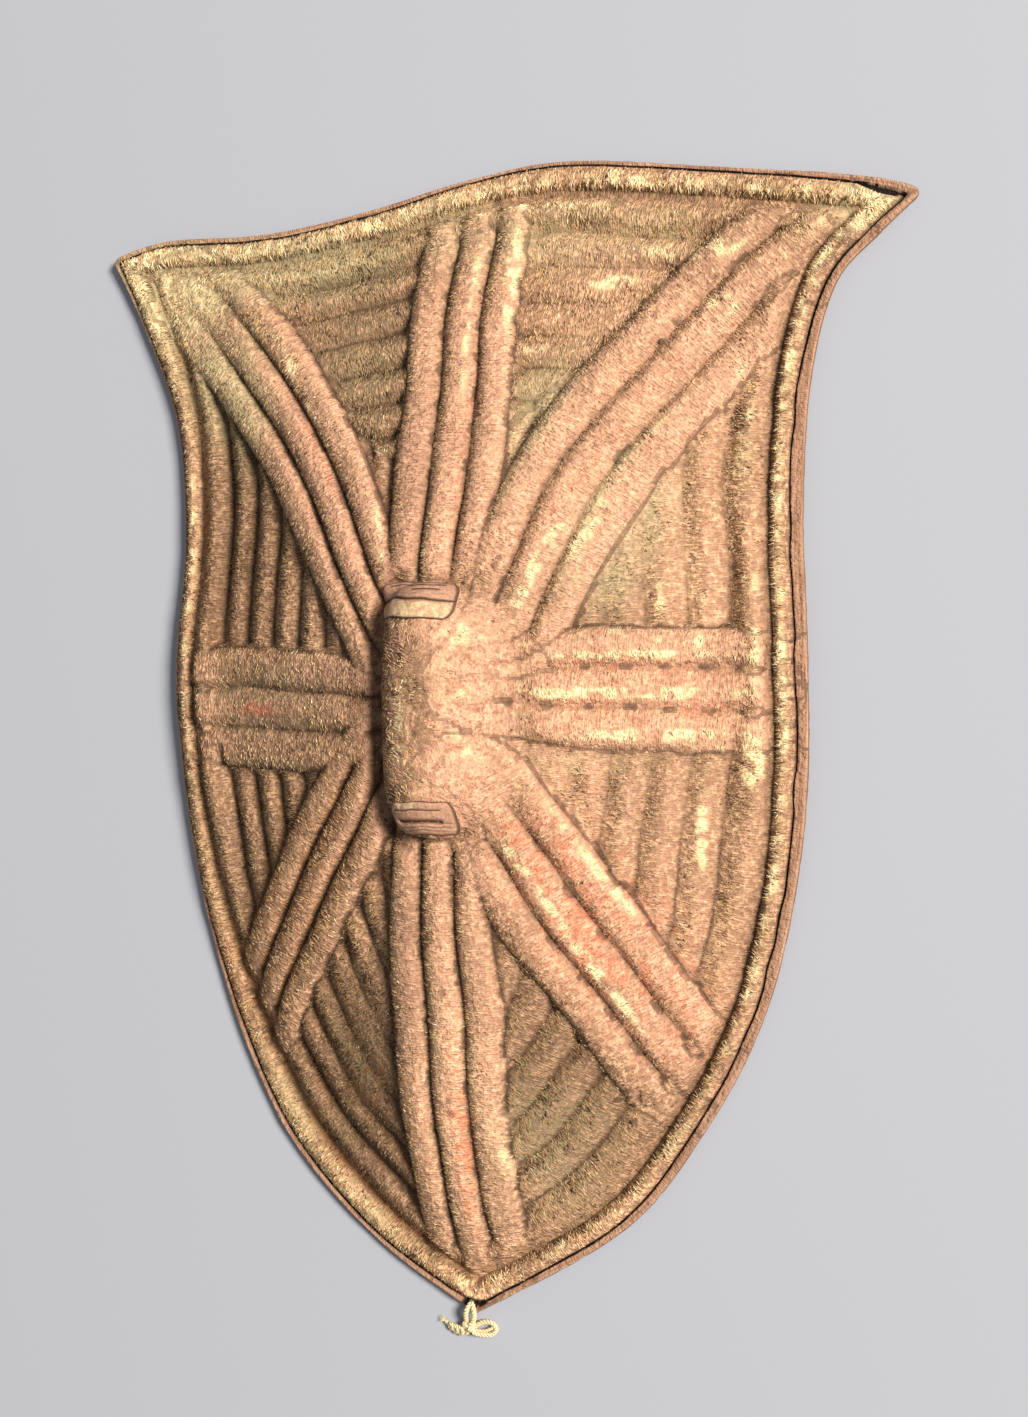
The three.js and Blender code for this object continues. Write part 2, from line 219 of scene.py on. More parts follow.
def inside(places: Array, line: Array) -> Array:
    """Says whether each place is inside a line.

    Args:
        places: where to look.
        line: a closed line, with its first point again at its end.

    Returns:
        True or false for each place.
    """
    a, b = line[:-1], line[1:]
    odd = np.empty(len(places), bool)
    for first in range(0, len(places), BLOCK):
        x, y = places[first : first + BLOCK, 0:1], places[first : first + BLOCK, 1:2]
        crosses = (a[:, 1] > y) != (b[:, 1] > y)
        run = np.where(b[:, 1] == a[:, 1], 1.0, b[:, 1] - a[:, 1])
        at = a[:, 0] + (y - a[:, 1]) / run * (b[:, 0] - a[:, 0])
        odd[first : first + BLOCK] = (crosses & (x < at)).sum(1) % 2 == 1
    return odd


def with_room(groups: list[tuple[Array, float]], cell: float = 3.0) -> Array:
    """Keeps the points that have room.

    Args:
        groups: points, the most important first, and the room that each group's points need.
        cell: the side of the squares that near points are looked up in.

    Returns:
        The points kept, in order.
    """
    kept: list[Point] = []
    held: dict[tuple[int, int], list[Point]] = {}
    around = [(i, j) for i in (-1, 0, 1) for j in (-1, 0, 1)]
    for points, room in groups:
        least = room * room
        for x, y in points.tolist():
            i, j = math.floor(x / cell), math.floor(y / cell)
            near = (p for di, dj in around for p in held.get((i + di, j + dj), ()))
            if all((x - px) ** 2 + (y - py) ** 2 >= least for px, py in near):
                kept.append((x, y))
                held.setdefault((i, j), []).append((x, y))
    return np.array(kept)


def honeycomb(low: Point, high: Point, step: float) -> Array:
    """Fills a rectangle with points in staggered rows.

    Args:
        low: its lowest corner.
        high: its highest corner.
        step: how far apart the points are.

    Returns:
        The points.
    """
    rows = np.arange(low[1], high[1], step * math.sqrt(3) / 2)
    across = np.arange(low[0], high[0], step)
    shift = (np.arange(len(rows)) % 2) * step / 2
    x = across[None] + shift[:, None]
    return np.stack([x.ravel(), np.repeat(rows, len(across))], 1)


# ---- The outline ----


@dataclass
class Outline:
    """The edge of the hide in three runs, clockwise, with what the hem does along each."""

    horn_left: Point = (-373, 455)
    horn_right: Point = (376, 459)
    foot: Point = (-19, -498)
    top_edge: Line = (
        (-317, 468), (-216, 467), (-117, 480), (-22, 500), (71, 509), (204, 493), (331, 474),
    )
    right_edge: Line = (
        (339, 426), (303, 387), (282, 310), (275, 200), (279, 80), (278, -30), (264, -136),
        (236, -235), (187, -327), (115, -416),
    )
    left_edge: Line = (
        (-112, -440), (-192, -360), (-240, -272), (-274, -173), (-295, -70), (-307, 60),
        (-298, 190), (-307, 300), (-342, 392),
    )
    # The hem's width, by the share of the run; it is cut by eye, so it wanders.
    hem_top: Line = ((0, 4), (0.15, 4.5), (0.35, 4), (0.5, 3), (0.85, 3.5), (0.95, 6), (1, 7))
    hem_right: Line = ((0, 7), (0.1, 7.5), (0.2, 9.5), (0.5, 9.5), (0.7, 7.5), (0.85, 6), (1, 4.5))
    hem_left: Line = (
        (0, 5.5), (0.1, 4.5), (0.32, 4.5), (0.45, 2.6), (0.75, 2), (0.93, 2.5), (1, 4),
    )
    # The crevice behind it is a hair's gap that gapes at the horns.
    gap_top: Line = (
        (0, 0.8), (0.08, 0.8), (0.9, 1), (0.925, 1), (0.95, 5.5), (0.98, 5.5), (1, 1.5),
    )
    gap_right: Line = ((0, 1.2), (0.06, 1.8), (0.2, 1.5), (0.45, 1.2), (0.8, 1.5), (1, 1.3))
    gap_left: Line = ((0, 1.5), (0.1, 1), (0.5, 0.7), (0.95, 0.8), (1, 0.8))
    # Where the roll runs out into the groove inside it.
    foot_top: Line = ((0, 25), (0.5, 26), (1, 26))
    foot_right: Line = ((0, 26), (0.15, 25), (0.5, 24.5), (1, 24))
    foot_left: Line = (
        (0, 24), (0.1, 27), (0.2, 31), (0.28, 30), (0.36, 26), (0.46, 21), (0.8, 19), (1, 25),
    )
    horn_round: int = 14  # how often the points beside a horn's tip are eased
    waver: Hills = Hills(9, 22)
    # How much the hem, the crevice and the roll's end waver, as shares of themselves.
    wavers: Spot = (0.16, -0.35, 0.03)
    coarse: float = 8.0
    line: Array = field(init=False)
    widths: Array = field(init=False)

    def __post_init__(self) -> None:
        """Works out the closed line that distances are measured from."""
        self.line, self.widths = self.walk(self.coarse)

    def walk(self, step: float) -> tuple[Array, Array]:
        """Goes once round the edge, with a point on each horn and on the foot.

        Args:
            step: about how far apart the points are.

        Returns:
            The points, the first one again at the end, and beside each the width of the hem, the
            width of the crevice and where the roll ends.
        """
        corners = [self.horn_left, self.horn_right, self.foot, self.horn_left]
        runs = [
            (self.top_edge, (self.hem_top, self.gap_top, self.foot_top)),
            (self.right_edge, (self.hem_right, self.gap_right, self.foot_right)),
            (self.left_edge, (self.hem_left, self.gap_left, self.foot_left)),
        ]
        places, widths = [], []
        for number, (middle, tables) in enumerate(runs):
            line = catmull_rom([corners[number], *middle, corners[number + 1]])
            found, share = evenly(line, step)
            at = share * lengths_along(line)[-1]
            waver = self.waver.at(at, at * 0 + 40 * number)
            places.append(found)
            beside = np.stack([np.interp(share, *zip(*table)) for table in tables], 1)
            widths.append(beside * (1 + np.outer(waver, self.wavers)))
        loop, beside = np.vstack(places), np.vstack(widths)
        return np.vstack([loop, loop[:1]]), np.vstack([beside, beside[:1]])

    def eased(self, loop: Array, reach: float = 9.0) -> Array:
        """Rounds the tips of the two horns.

        Args:
            loop: an open loop of close points.
            reach: how far from a tip the rounding goes.

        Returns:
            The loop with its tips rounded.
        """
        tips = np.array([self.horn_left, self.horn_right], float)
        near = np.linalg.norm(loop[:, None] - tips, axis=2).min(1)[:, None]
        much = 0.5 * smooth(reach - near, 0, reach)
        for _ in range(self.horn_round):
            loop = mix(loop, (np.roll(loop, 1, 0) + np.roll(loop, -1, 0)) / 2, much)
        return loop


# ---- The relief ----


@dataclass(frozen=True)
class Band:
    """A raised band of three ribs along a bent line, from the boss to the border."""

    name: str
    pitch: float
    root: Point
    bend: Point
    end: Point
    turn: int = 0  # the side, 1 left or -1 right, on which its last rib turns down the border

    def pitch_at(self, share: Array) -> Array:
        """The width of a rib, which narrows towards the boss."""
        return self.pitch * mix(0.85, 1, smooth(share, 0, 0.4))

    def line(self, parts: int = 24) -> Array:
        """The places along its middle."""
        t = np.linspace(0, 1, parts + 1)[:, None]
        root, bend, end = (np.array(p, float) for p in (self.root, self.bend, self.end))
        return (1 - t) ** 2 * root + 2 * t * (1 - t) * bend + t * t * end


BANDS = (
    Band("north", 33, (-10, 125), (-10, 300), (-8, 490)),
    Band("north_east", 36, (50, 98), (88, 268), (285, 432)),
    Band("east", 34, (35, 58), (140, 48), (262, 48), turn=-1),
    Band("south_east", 34, (20, -28), (96, -148), (180, -280), turn=-1),
    Band("south", 33, (-12, -65), (-15, -260), (-13, -475)),
    Band("south_west", 31, (-60, 5), (-138, -112), (-226, -248)),
    Band("west", 35, (-60, 30), (-150, 33), (-285, 38), turn=1),
    Band("north_west", 32, (-58, 95), (-142, 281), (-290, 420)),
)
PANEL = -1  # the owner of a place that no band covers


@dataclass
class Chart:
    """Values held on a grid over the plan, so that they are quick to read at any place."""

    low: Point
    step: float
    layers: Array

    def at(self, x: Array, y: Array) -> Array:
        """Reads every layer.

        Args:
            x: places across the plan.
            y: places along it.

        Returns:
            The layers' values, one row a place.
        """
        rows, columns, _ = self.layers.shape
        u = np.clip((x - self.low[0]) / self.step, 0, columns - 1.001)
        v = np.clip((y - self.low[1]) / self.step, 0, rows - 1.001)
        i, j = u.astype(int), v.astype(int)
        su, sv = (u - i)[:, None], (v - j)[:, None]
        grid = self.layers
        low = mix(grid[j, i], grid[j, i + 1], su)
        return mix(low, mix(grid[j + 1, i], grid[j + 1, i + 1], su), sv)


def blurred(grid: Array, spread: float) -> Array:
    """Softens a grid.

    Args:
        grid: its values.
        spread: how far each value spreads, in cells.

    Returns:
        The soft grid.
    """
    rows = np.fft.fftfreq(grid.shape[0])[:, None]
    columns = np.fft.rfftfreq(grid.shape[1])[None]
    keep = np.exp(-2 * (math.pi * spread) ** 2 * (rows**2 + columns**2))
    return np.fft.irfft2(np.fft.rfft2(grid) * keep, s=grid.shape)


@dataclass
class Ground:
    """Distances from the outline and the bands."""

    outline: Outline
    low: Point = (-396, -521)
    high: Point = (399, 532)
    step: float = 3.0
    chart: Chart = field(init=False)

    def __post_init__(self) -> None:
        """Measures every place of a grid once."""
        x = np.arange(self.low[0], self.high[0], self.step)
        y = np.arange(self.low[1], self.high[1], self.step)
        places = np.stack([a.ravel() for a in np.meshgrid(x, y)], 1)
        line = self.outline.line
        distance, at, _ = nearest_on(places, line)
        sign = np.where(inside(places, line), 1, -1)
        along = lengths_along(line)
        parts = np.arange(len(line))
        found = [
            distance * sign,
            self.soft_distance(places, line),
            *(np.interp(at, parts, self.outline.widths[:, k]) for k in range(3)),
            np.interp(at, parts, along),
        ]
        for band in BANDS:
            middle = band.line()
            distance, at, side = nearest_on(places, middle)
            share = at / (len(middle) - 1)
            pitch = band.pitch_at(share)
            found += [side * distance / pitch, share * lengths_along(middle)[-1]]
        layers = np.stack(found, 1).reshape(len(y), len(x), -1).astype(np.float32)
        self.chart = Chart(self.low, self.step, layers)

    @staticmethod
    def soft_distance(places: Array, line: Array) -> Array:
        """A distance from the edge with no crease where two edges are equally near.

        Args:
            places: where to measure from.
            line: the edge, each part of which counts by its distance's inverse fourth power.

        Returns:
            The distances.
        """
        middles = (line[1:] + line[:-1]) / 2
        lengths = np.linalg.norm(np.diff(line, axis=0), axis=1)
        total = np.empty(len(places))
        for first in range(0, len(places), BLOCK):
            square = ((places[first : first + BLOCK, None] - middles) ** 2).sum(2)
            total[first : first + BLOCK] = (lengths / np.maximum(square, 16) ** 2).sum(1)
        return (total / (math.pi / 2)) ** (-1 / 3)

    def at(self, x: Array, y: Array) -> Array:
        """Every distance at these places, one row a place."""
        return self.chart.at(x, y)


def ribs(phase: Array, flatness: float = 2.5) -> Array:
    """A row of round ribs with sharp creases: 1 at whole numbers and 0 halfway."""
    return 1 - (2 * np.abs(phase - np.round(phase))) ** flatness


@dataclass(frozen=True)
class Patch:
    """A soft oval patch on the plan."""

    x: float
    y: float
    half_width: float
    half_length: float
    much: float = 1.0
    turn: float = 0.0

    def at(self, x: Array, y: Array) -> Array:
        """How much of it a place has."""
        c, s = math.cos(math.radians(self.turn)), math.sin(math.radians(self.turn))
        u = ((x - self.x) * c + (y - self.y) * s) / self.half_width
        v = (-(x - self.x) * s + (y - self.y) * c) / self.half_length
        return self.much * np.exp(-((u * u + v * v) ** 1.5))


Patches = tuple[Patch, ...]


def ovals(*sizes: tuple[float, ...]) -> Patches:
    """Patches from rows of x, y, half width, half length, how much and turn."""
    return tuple(Patch(*row) for row in sizes)


def patches_at(patches: Patches, x: Array, y: Array) -> Array:
    """The most that any of the patches gives each place."""
    return np.max([patch.at(x, y) for patch in patches], axis=0)


# Where whole ribs stand lower than elsewhere.
SHALLOW_STAMPING = ovals(
    (160, 46, 130, 50, 0.55), (-190, 38, 120, 50, 0.8), (-305, 408, 85, 40, 1.7, -33),
    (190, -60, 60, 110, 0.6), (170, 170, 60, 110, 0.7), (70, 380, 60, 70, 0.4),
    (90, 210, 40, 80, 0.3, -30),
)
# Where the stamping is faint and the ribs run out into smooth hide.
FAINT_STAMPING = ovals(
    (150, 345, 90, 60, 1, -30), (75, 255, 34, 60, 1, -25), (110, 150, 45, 75, 1, -28),
    (95, 5, 60, 26), (85, -45, 50, 28, 1, -30), (40, -150, 30, 70, 0.8, 12),
    (-60, -150, 26, 60, 0.6, -12), (-150, 350, 45, 40, 0.7, 30), (-100, 60, 30, 22, 0.5),
    (215, -190, 40, 60, 0.6, 20), (60, -390, 60, 40, 0.4), (-95, -260, 50, 90, 0.8, -10),
    (160, -150, 40, 50, 0.6),
)


@dataclass
class Places:
    """What the relief says about a set of places, one value a place."""

    x: Array
    y: Array
    height: Array  # of the hair side over the plan's floor
    edge: Array  # distance from the edge
    hem: Array  # the hem's width beside it
    gap: Array  # the crevice's width beside it
    foot: Array  # how far in the roll ends beside it
    rim: Array  # how far round the edge the nearest part is
    owner: Array  # the band's number, or PANEL
    phase: Array  # ribs from the middle of the band, or from the border's groove
    along: Array  # how far along the band or round the edge
    crease: Array  # distance from the nearest crease
    boss: Array  # 0 at the middle of the boss and 1 at its foot


@dataclass
class Relief:
    """The hide's shape: the dome, the border, the bands, the panels and the boss."""

    ground: Ground
    thick: float = 5.0
    dome_slope: float = 0.56
    hem_rise: float = 5.0
    hem_flat: float = 9.0  # the dome starts this far in
    crest_at: float = 20.0
    roll_rise: float = 11.0
    groove: float = 31.0
    groove_wide: float = 6.0
    groove_deep: float = 2.4
    hem_slope: float = 1.2  # the hem is this much lower at the crevice than at the rim
    panel_pitch: float = 31.0
    panel_rib: float = 9.5
    panel_sink: float = 8.0
    band_rib: float = 10.0
    band_half: float = 1.5
    ledge: float = 0.16
    boss_x: float = -13.0
    boss_y: float = 34.0
    boss_half_width: float = 43.0
    boss_half_length: float = 106.0
    boss_rise: float = 33.0
    boss_easing: float = 34.0  # how much wider its right side runs out
    skirt_easing: float = 16.0
    moat_deep: float = 7.0
    slit_x: float = -21.0
    slit_y: float = -488.0
    slit_width: float = 12.0
    slit_length: float = 3.0
    dent_half_width: float = 11.5  # of the dent round the slit
    dent_half_length: float = 5.4
    dent_deep: float = 2.0
    wander: float = 3.6  # how far a rib strays from its drawn line
    drift_x: Hills = Hills(11, 75)
    drift_y: Hills = Hills(12, 75)
    swell: Hills = Hills(13, 38)
    lump: Hills = Hills(14, 13)
    grain: Hills = Hills(15, 6)
    faint: Patches = FAINT_STAMPING
    shallow: Patches = SHALLOW_STAMPING
    chart_step: float = 2.0
    chart: Chart = field(init=False)

    def __post_init__(self) -> None:
        """Works out where the hair side is hollow and where it is proud, over the whole plan."""
        low, high = self.ground.low, self.ground.high
        x = np.arange(low[0], high[0], self.chart_step)
        y = np.arange(low[1], high[1], self.chart_step)
        across, along = np.meshgrid(x, y)
        height = self.read(across.ravel(), along.ravel(), fine=False).height.reshape(across.shape)
        near, wide = blurred(height, 2.0), blurred(height, 6.0)
        local = blurred(height, 0.8) - wide
        slopes = np.gradient(local, self.chart_step)
        layers = np.stack([near - height, local, slopes[1], slopes[0]], 2).astype(np.float32)
        self.chart = Chart(low, self.chart_step, layers)

    def stray(self, x: Array, y: Array, edge: Array) -> tuple[Array, Array]:
        """Where the drawn line of a place is, as ribs wander the more the further in they are."""
        much = self.wander * smooth(edge, self.groove, self.groove + 35)
        return x + much * self.drift_x.at(x, y), y + much * self.drift_y.at(x, y)

    def unstray(self, x: Array, y: Array) -> tuple[Array, Array]:
        """Undoes stray.

        Args:
            x: drawn places across the shield.
            y: drawn places along it.

        Returns:
            The places that stray takes to them.
        """
        px, py = x, y
        for _ in range(3):
            edge = self.ground.at(px, py)[:, 0]
            sx, sy = self.stray(px, py, edge)
            px, py = px + (x - sx), py + (y - sy)
        return px, py

    def dome(self, soft: Array, y: Array) -> Array:
        """The height of the plain dome."""
        away = np.maximum(0, soft - self.hem_flat)
        slope = self.dome_slope * (1 - 0.35 * smooth(y, 120, 400))
        lift = 13 * bell(y, 70, 130) - 8 * smooth(-y, 90, 240)
        return slope * away + lift * bell(away, 22, 24)

    def border(self, edge: Array, hem: Array, gap: Array, foot: Array) -> Array:
        """The rise of the hem, the crevice behind it, the roll and the groove inside it.

        Args:
            edge: distances from the edge.
            hem: the hem's width beside each.
            gap: the crevice's width.
            foot: how far in the roll ends.

        Returns:
            The rise at each.
        """
        inner = hem + gap
        crest = np.clip(inner + 0.5 * (foot - inner), 9, self.crest_at)
        rounding = 1.4 * (1 - circle_part(1 - edge / 1.6)) * (edge < 1.6)
        thinner = 1.5 * smooth(5 - hem, 0, 3)
        hem_top = self.hem_rise - self.hem_slope * edge / hem - rounding - thinner
        crevice = (self.hem_rise - self.hem_slope) * (1 - np.clip((edge - hem + 0.2) / 0.5, 0, 1))
        roll = self.roll_rise * circle_part((crest - edge) / (crest - inner))
        down = np.clip((edge - crest) / (foot + 1 - crest), 0, 1)
        fall = self.roll_rise * (1 - down**2.2)
        fall = fall - self.groove_deep * bell(edge - foot, 2.4, 3.0)
        shape = np.where(edge < hem, hem_top, crevice)
        shape = np.where(edge > inner, roll, shape)
        return np.where(edge > crest, fall, shape)

    def slit_share(self, x: Array, y: Array) -> Array:
        """How much of the dent round the cord's slit a place has."""
        across = np.abs((x - self.slit_x) / self.dent_half_width) ** 4
        return np.exp(-(across + np.abs((y - self.slit_y) / self.dent_half_length) ** 2))

    def boss_share(self, x: Array, y: Array, half_width: float) -> Array:
        """0 at the middle of the boss and 1 at its foot."""
        across = np.abs((x - self.boss_x) / half_width) ** 2.5
        return across + np.abs((y - self.boss_y) / self.boss_half_length) ** 5

    def boss(self, x: Array, y: Array) -> Array:
        """The boss's rise: steep on its left, and on its right easing into the bands."""
        steep = np.sqrt(np.maximum(0, 1 - self.boss_share(x, y, self.boss_half_width)))
        wide = self.boss_share(x, y, self.boss_half_width + self.boss_easing)
        eased = np.maximum(0, 1 - wide) ** 1.9
        return self.boss_rise * mix(steep, eased, smooth(x, self.boss_x - 5, self.boss_x + 40))

    def turned(self, across: Array, inside_groove: Array, pitch: float) -> Array:
        """The rise of a band's last rib, which turns a corner and runs on beside the border.

        Args:
            across: ribs from the middle of the band.
            inside_groove: distances from the border's groove.
            pitch: the width of a rib.

        Returns:
            The rise at each place.
        """
        beside, inward = (across - 1) * pitch, inside_groove - self.panel_pitch / 2
        corner = np.hypot(beside, inward)
        leg = np.where(inward > 0, np.abs(beside), corner)
        down = np.where(beside > 0, np.abs(inward), corner)
        away = np.minimum(leg, down) / (pitch / 2)
        rise = self.band_rib * (1 - np.minimum(away, 1) ** 2.2)
        sunk = self.panel_sink * smooth(inside_groove, 0, self.panel_pitch)
        return rise * (1 - smooth(beside, 60, 170)) - sunk * smooth(beside, -pitch / 2, pitch / 2)

    def read(self, x: Array, y: Array, edge: Array | None = None, fine: bool = True) -> Places:
        """Measures the relief at these places.

        Args:
            x: places across the shield.
            y: places along it.
            edge: their distances from the edge, if known better than the grid has them.
            fine: whether to add the lumps and the grain of the skin.

        Returns:
            What the relief says about them.
        """
        known = self.ground.at(x, y)
        edge = known[:, 0] if edge is None else edge
        sx, sy = self.stray(x, y, edge)
        drawn = self.ground.at(sx, sy)
        strayed = drawn[:, 0] + (edge - known[:, 0])
        hem, gap, foot, rim = known[:, 2], known[:, 3], known[:, 4], known[:, 5]
        groove = foot + self.groove_wide
        calm = 1 - patches_at(self.faint, x, y)
        into = strayed - groove
        phase = into / self.panel_pitch + 0.5
        sink = self.panel_sink * smooth(into, 0, self.panel_pitch)
        wave = 0.5 + 0.5 * np.cos(2 * math.pi * phase)
        relief = self.panel_rib * (calm * mix(ribs(phase), wave, 0.55) + 0.5 * (1 - calm)) - sink
        owner = np.full(len(x), PANEL)
        along = rim.copy()
        crease = np.abs(0.5 - np.abs(phase - np.round(phase))) * self.panel_pitch
        for number, band in enumerate(BANDS):
            signed, reach = drawn[:, 6 + 2 * number], drawn[:, 7 + 2 * number]
            across = np.abs(signed)
            rise = self.band_rib * ribs(np.minimum(across, self.band_half), 3.0)
            bare = mix(rise, relief, smooth(across, self.band_half, self.band_half + self.ledge))
            mine = (across < self.band_half) & (bare > relief)
            if band.turn:
                beside = signed * band.turn
                rib = self.turned(beside, into, band.pitch)
                near = (beside > 0.5) & (into < self.panel_pitch)
                corner = np.maximum(rib, np.where(beside > self.band_half, relief, 0))
                bare = np.where(near, corner, bare)
            relief = np.where((bare > relief) | mine, bare, relief)
            owner = np.where(mine, number, owner)
            phase = np.where(mine, signed, phase)
            along = np.where(mine, reach, along)
            beside_crease = np.abs(0.5 - np.abs(across - np.round(across))) * band.pitch
            outside = np.minimum(crease, np.maximum(0, across - self.band_half) * band.pitch)
            crease = np.where(mine, beside_crease, outside)
        relief *= np.clip((edge - groove + 1) / 8, 0, 1) * (1 + 0.2 * self.swell.at(x, y))
        relief *= 1 - 0.5 * patches_at(self.shallow, x, y)
        share = self.boss_share(x, y, self.boss_half_width)
        rightward = smooth(x, self.boss_x, self.boss_x + 30)
        wide = self.boss_share(x, y, self.boss_half_width + self.skirt_easing)
        skirt = mix(4, relief, smooth(mix(share, wide, rightward), 0.6, mix(1.6, 3.2, rightward)))
        moat = -self.moat_deep * bell(share, 1.5, 0.55) * smooth(self.boss_x - x, 5, 30)
        inner = skirt + moat + self.boss(x, y)
        shape = np.where(edge <= groove, self.border(edge, hem, gap, foot), inner)
        dent = self.dent_deep * self.slit_share(x, y)
        height = self.thick + self.dome(known[:, 1], y) + shape - dent
        if fine:
            skin = smooth(edge, hem + gap + 2, hem + gap + 6)
            height = height + skin * (0.7 * self.lump.at(x, y) + 0.6 * self.grain.at(x, y))
            height = height + 0.35 * self.lump.at(rim * 0.7, edge * 2) * (edge < hem)
        on_boss = smooth(1.25 - share, 0, 0.3)
        return Places(
            x, y, height, edge, hem, gap, foot, rim, owner, phase, along,
            mix(crease, 9, on_boss), share,
        )


# ---- Where the finishes change ----


@dataclass
class Wear:
    """Where the hide is rubbed with ochre, worn pale, olive, rusty or dark; light and shade painted
    in.

    The ochre shows more on the flanks that face the key light, as painted light. The rusty brown,
    the fur and the dark share gather on the flanks away from it, in the creases and hollows, in the
    groove inside the roll and on the boss's left side, as painted shade.
    """

    relief: Relief
    ochre_and_light: Patches = ovals(
        (40, 20, 130, 160), (130, -150, 60, 190, 1, 34), (150, 40, 140, 60), (0, 260, 60, 190),
        (140, 250, 70, 210, 1, -38), (-110, 230, 50, 190, 0.9, 32), (-5, -250, 50, 200, 0.6),
        (190, 330, 80, 60, 0.8), (200, 120, 60, 120, 0.6), (180, -60, 80, 110, 0.6),
        (60, -330, 90, 90, 0.3), (-190, 40, 110, 34, 0.15), (-130, -110, 30, 150, 0.35, -35),
        (60, 400, 110, 60, 0.35),
    )
    red: Patches = ovals(
        (92, -128, 15, 110, 0.8, 33), (130, -132, 13, 125, 0.6, 33), (120, -150, 60, 150, 0.5, 33),
        (150, 46, 120, 46, 0.35), (28, 40, 26, 80, 0.3), (60, -90, 8, 60, 0.35, 33),
        (150, 72, 100, 7, 0.4), (150, 32, 100, 6, 0.45), (-8, -330, 8, 100, 0.75),
        (-200, 36, 50, 7, 0.8), (-140, 270, 6, 120, 0.4, 30), (30, 30, 16, 60, 0.3),
        (-60, 200, 8, 70, 0.3, 20), (130, 260, 8, 160, 0.35, -36), (5, 260, 6, 150, 0.35),
    )
    # Stubble rubbed to straw: narrow streaks on the crests, thickest where a hand or a wall rubs.
    worn: Patches = ovals(
        (125, 46, 110, 6), (150, 78, 70, 5, 0.7), (160, 12, 70, 6, 0.7), (60, 130, 7, 40, 1, -28),
        (100, 195, 6, 60, 0.8, -36), (150, 262, 6, 50, 0.7, -42), (132, 118, 6, 24),
        (163, 112, 6, 26), (196, 106, 5, 22, 0.9), (112, 190, 10, 40, 0.6, -22),
        (236, -8, 11, 22, 1.3, 12), (205, -2, 18, 6, 0.9), (12, 62, 8, 20, 0.3),
        (18, 97, 10, 14, 0.6), (22, 5, 6, 18, 0.5, 30), (208, 372, 24, 10, 0.8, -20),
        (228, 280, 8, 50, 0.55), (196, -70, 5, 32, 0.8), (150, -60, 5, 22, 0.6),
        (118, -98, 5, 70, 0.6, 35), (62, -100, 4, 60, 0.9, 33), (118, -190, 5, 60, 0.7, 33),
        (-68, 230, 5, 80, 0.7, 8), (-150, 300, 5, 80, 0.5, 30), (0, 380, 7, 80, 0.6),
        (32, 400, 6, 50, 0.8), (-22, 190, 5, 60, 0.6), (-30, 20, 10, 36, 0.45),
        (190, 420, 50, 10, 0.7), (-60, -350, 5, 60, 0.5), (90, 470, 150, 7, 0.5),
        (120, 395, 30, 8, 0.6), (50, 340, 18, 6, 0.6), (44, 300, 14, 6, 0.5),
        (240, 100, 6, 60, 0.5), (30, -350, 6, 40, 0.4, 20), (-340, 436, 46, 26, 0.55, -20),
        # The last three ovals, on the roll at the lower left, also stand in for light: painted light
        # on a roll that faces away from the key light.
        (335, 445, 50, 24, 0.6, 20), (-19, -478, 26, 20, 0.45), (-208, -325, 14, 90, 0.25, 29),
        (-130, -412, 14, 70, 0.25, 47), (-262, -215, 12, 70, 0.3, 19),
    )
    olive: Patches = ovals(
        (-300, 420, 90, 60), (-180, 430, 120, 40, 0.9), (-240, 330, 60, 90, 0.8, 30),
        (-110, 330, 60, 90, 0.5), (60, 440, 150, 36, 0.6), (60, 270, 40, 80, 0.7, -20),
        (130, 190, 46, 90, 0.8, -20), (330, 450, 50, 30, 0.7), (-60, 470, 90, 25, 0.6),
        (110, 62, 110, 5, 0.5), (110, 30, 110, 5, 0.7), (100, -10, 90, 14, 0.5),
        (-190, 58, 95, 6, 0.5), (-180, 22, 95, 6, 0.5), (-190, -12, 80, 5, 0.45),
        (60, -330, 70, 90, 0.5, 20), (-190, 46, 90, 40, 0.4), (-160, -125, 46, 150, 0.3, -33),
        (-110, -290, 50, 100, 0.4), (-10, -290, 40, 160, 0.45), (-200, -330, 26, 110, 0.6, 29),
        (-135, -410, 26, 80, 0.6, 47),
    )
    rust_and_shade: Patches = ovals(
        (-262, 180, 14, 130, 0.7), (-230, -240, 26, 150, 0.7, 28), (-140, -370, 26, 120, 0.7, 48),
        (-170, -60, 60, 50, 0.4), (-210, 150, 40, 90, 0.4), (-120, -300, 60, 100, 0.9),
        (-42, 30, 20, 80, 0.8), (-65, 130, 20, 40, 0.5), (-60, -460, 50, 30, 0.4),
        (-75, 20, 14, 60, 0.6), (-160, -125, 50, 150, 1.0, -33), (-62, -330, 14, 120, 0.8),
    )
    # Where the creases are painted only faintly dark: less painted shade and dirt.
    weak_creases: Patches = ovals(
        (160, 48, 150, 56, 0.7), (200, 330, 130, 110, 0.85), (150, 180, 90, 90, 0.7),
        (150, -30, 130, 60, 0.6), (0, 330, 50, 150, 0.5), (-200, 40, 110, 50, 0.5),
        (60, 440, 200, 60, 0.5), (-240, 400, 100, 60, 0.5), (110, -170, 50, 150, 0.5, 33),
    )
    # Where handling has thinned the hair to bare skin.
    bald: Patches = ovals(
        (-190, 38, 125, 52, 0.8), (150, 48, 140, 66, 0.8), (190, -70, 70, 120, 0.75),
        (190, 160, 70, 110, 0.75), (120, 250, 60, 170, 0.6, -38), (110, -170, 46, 150, 0.6, 34),
        (-10, -280, 50, 170, 0.5), (30, 40, 46, 90, 0.5),
    )
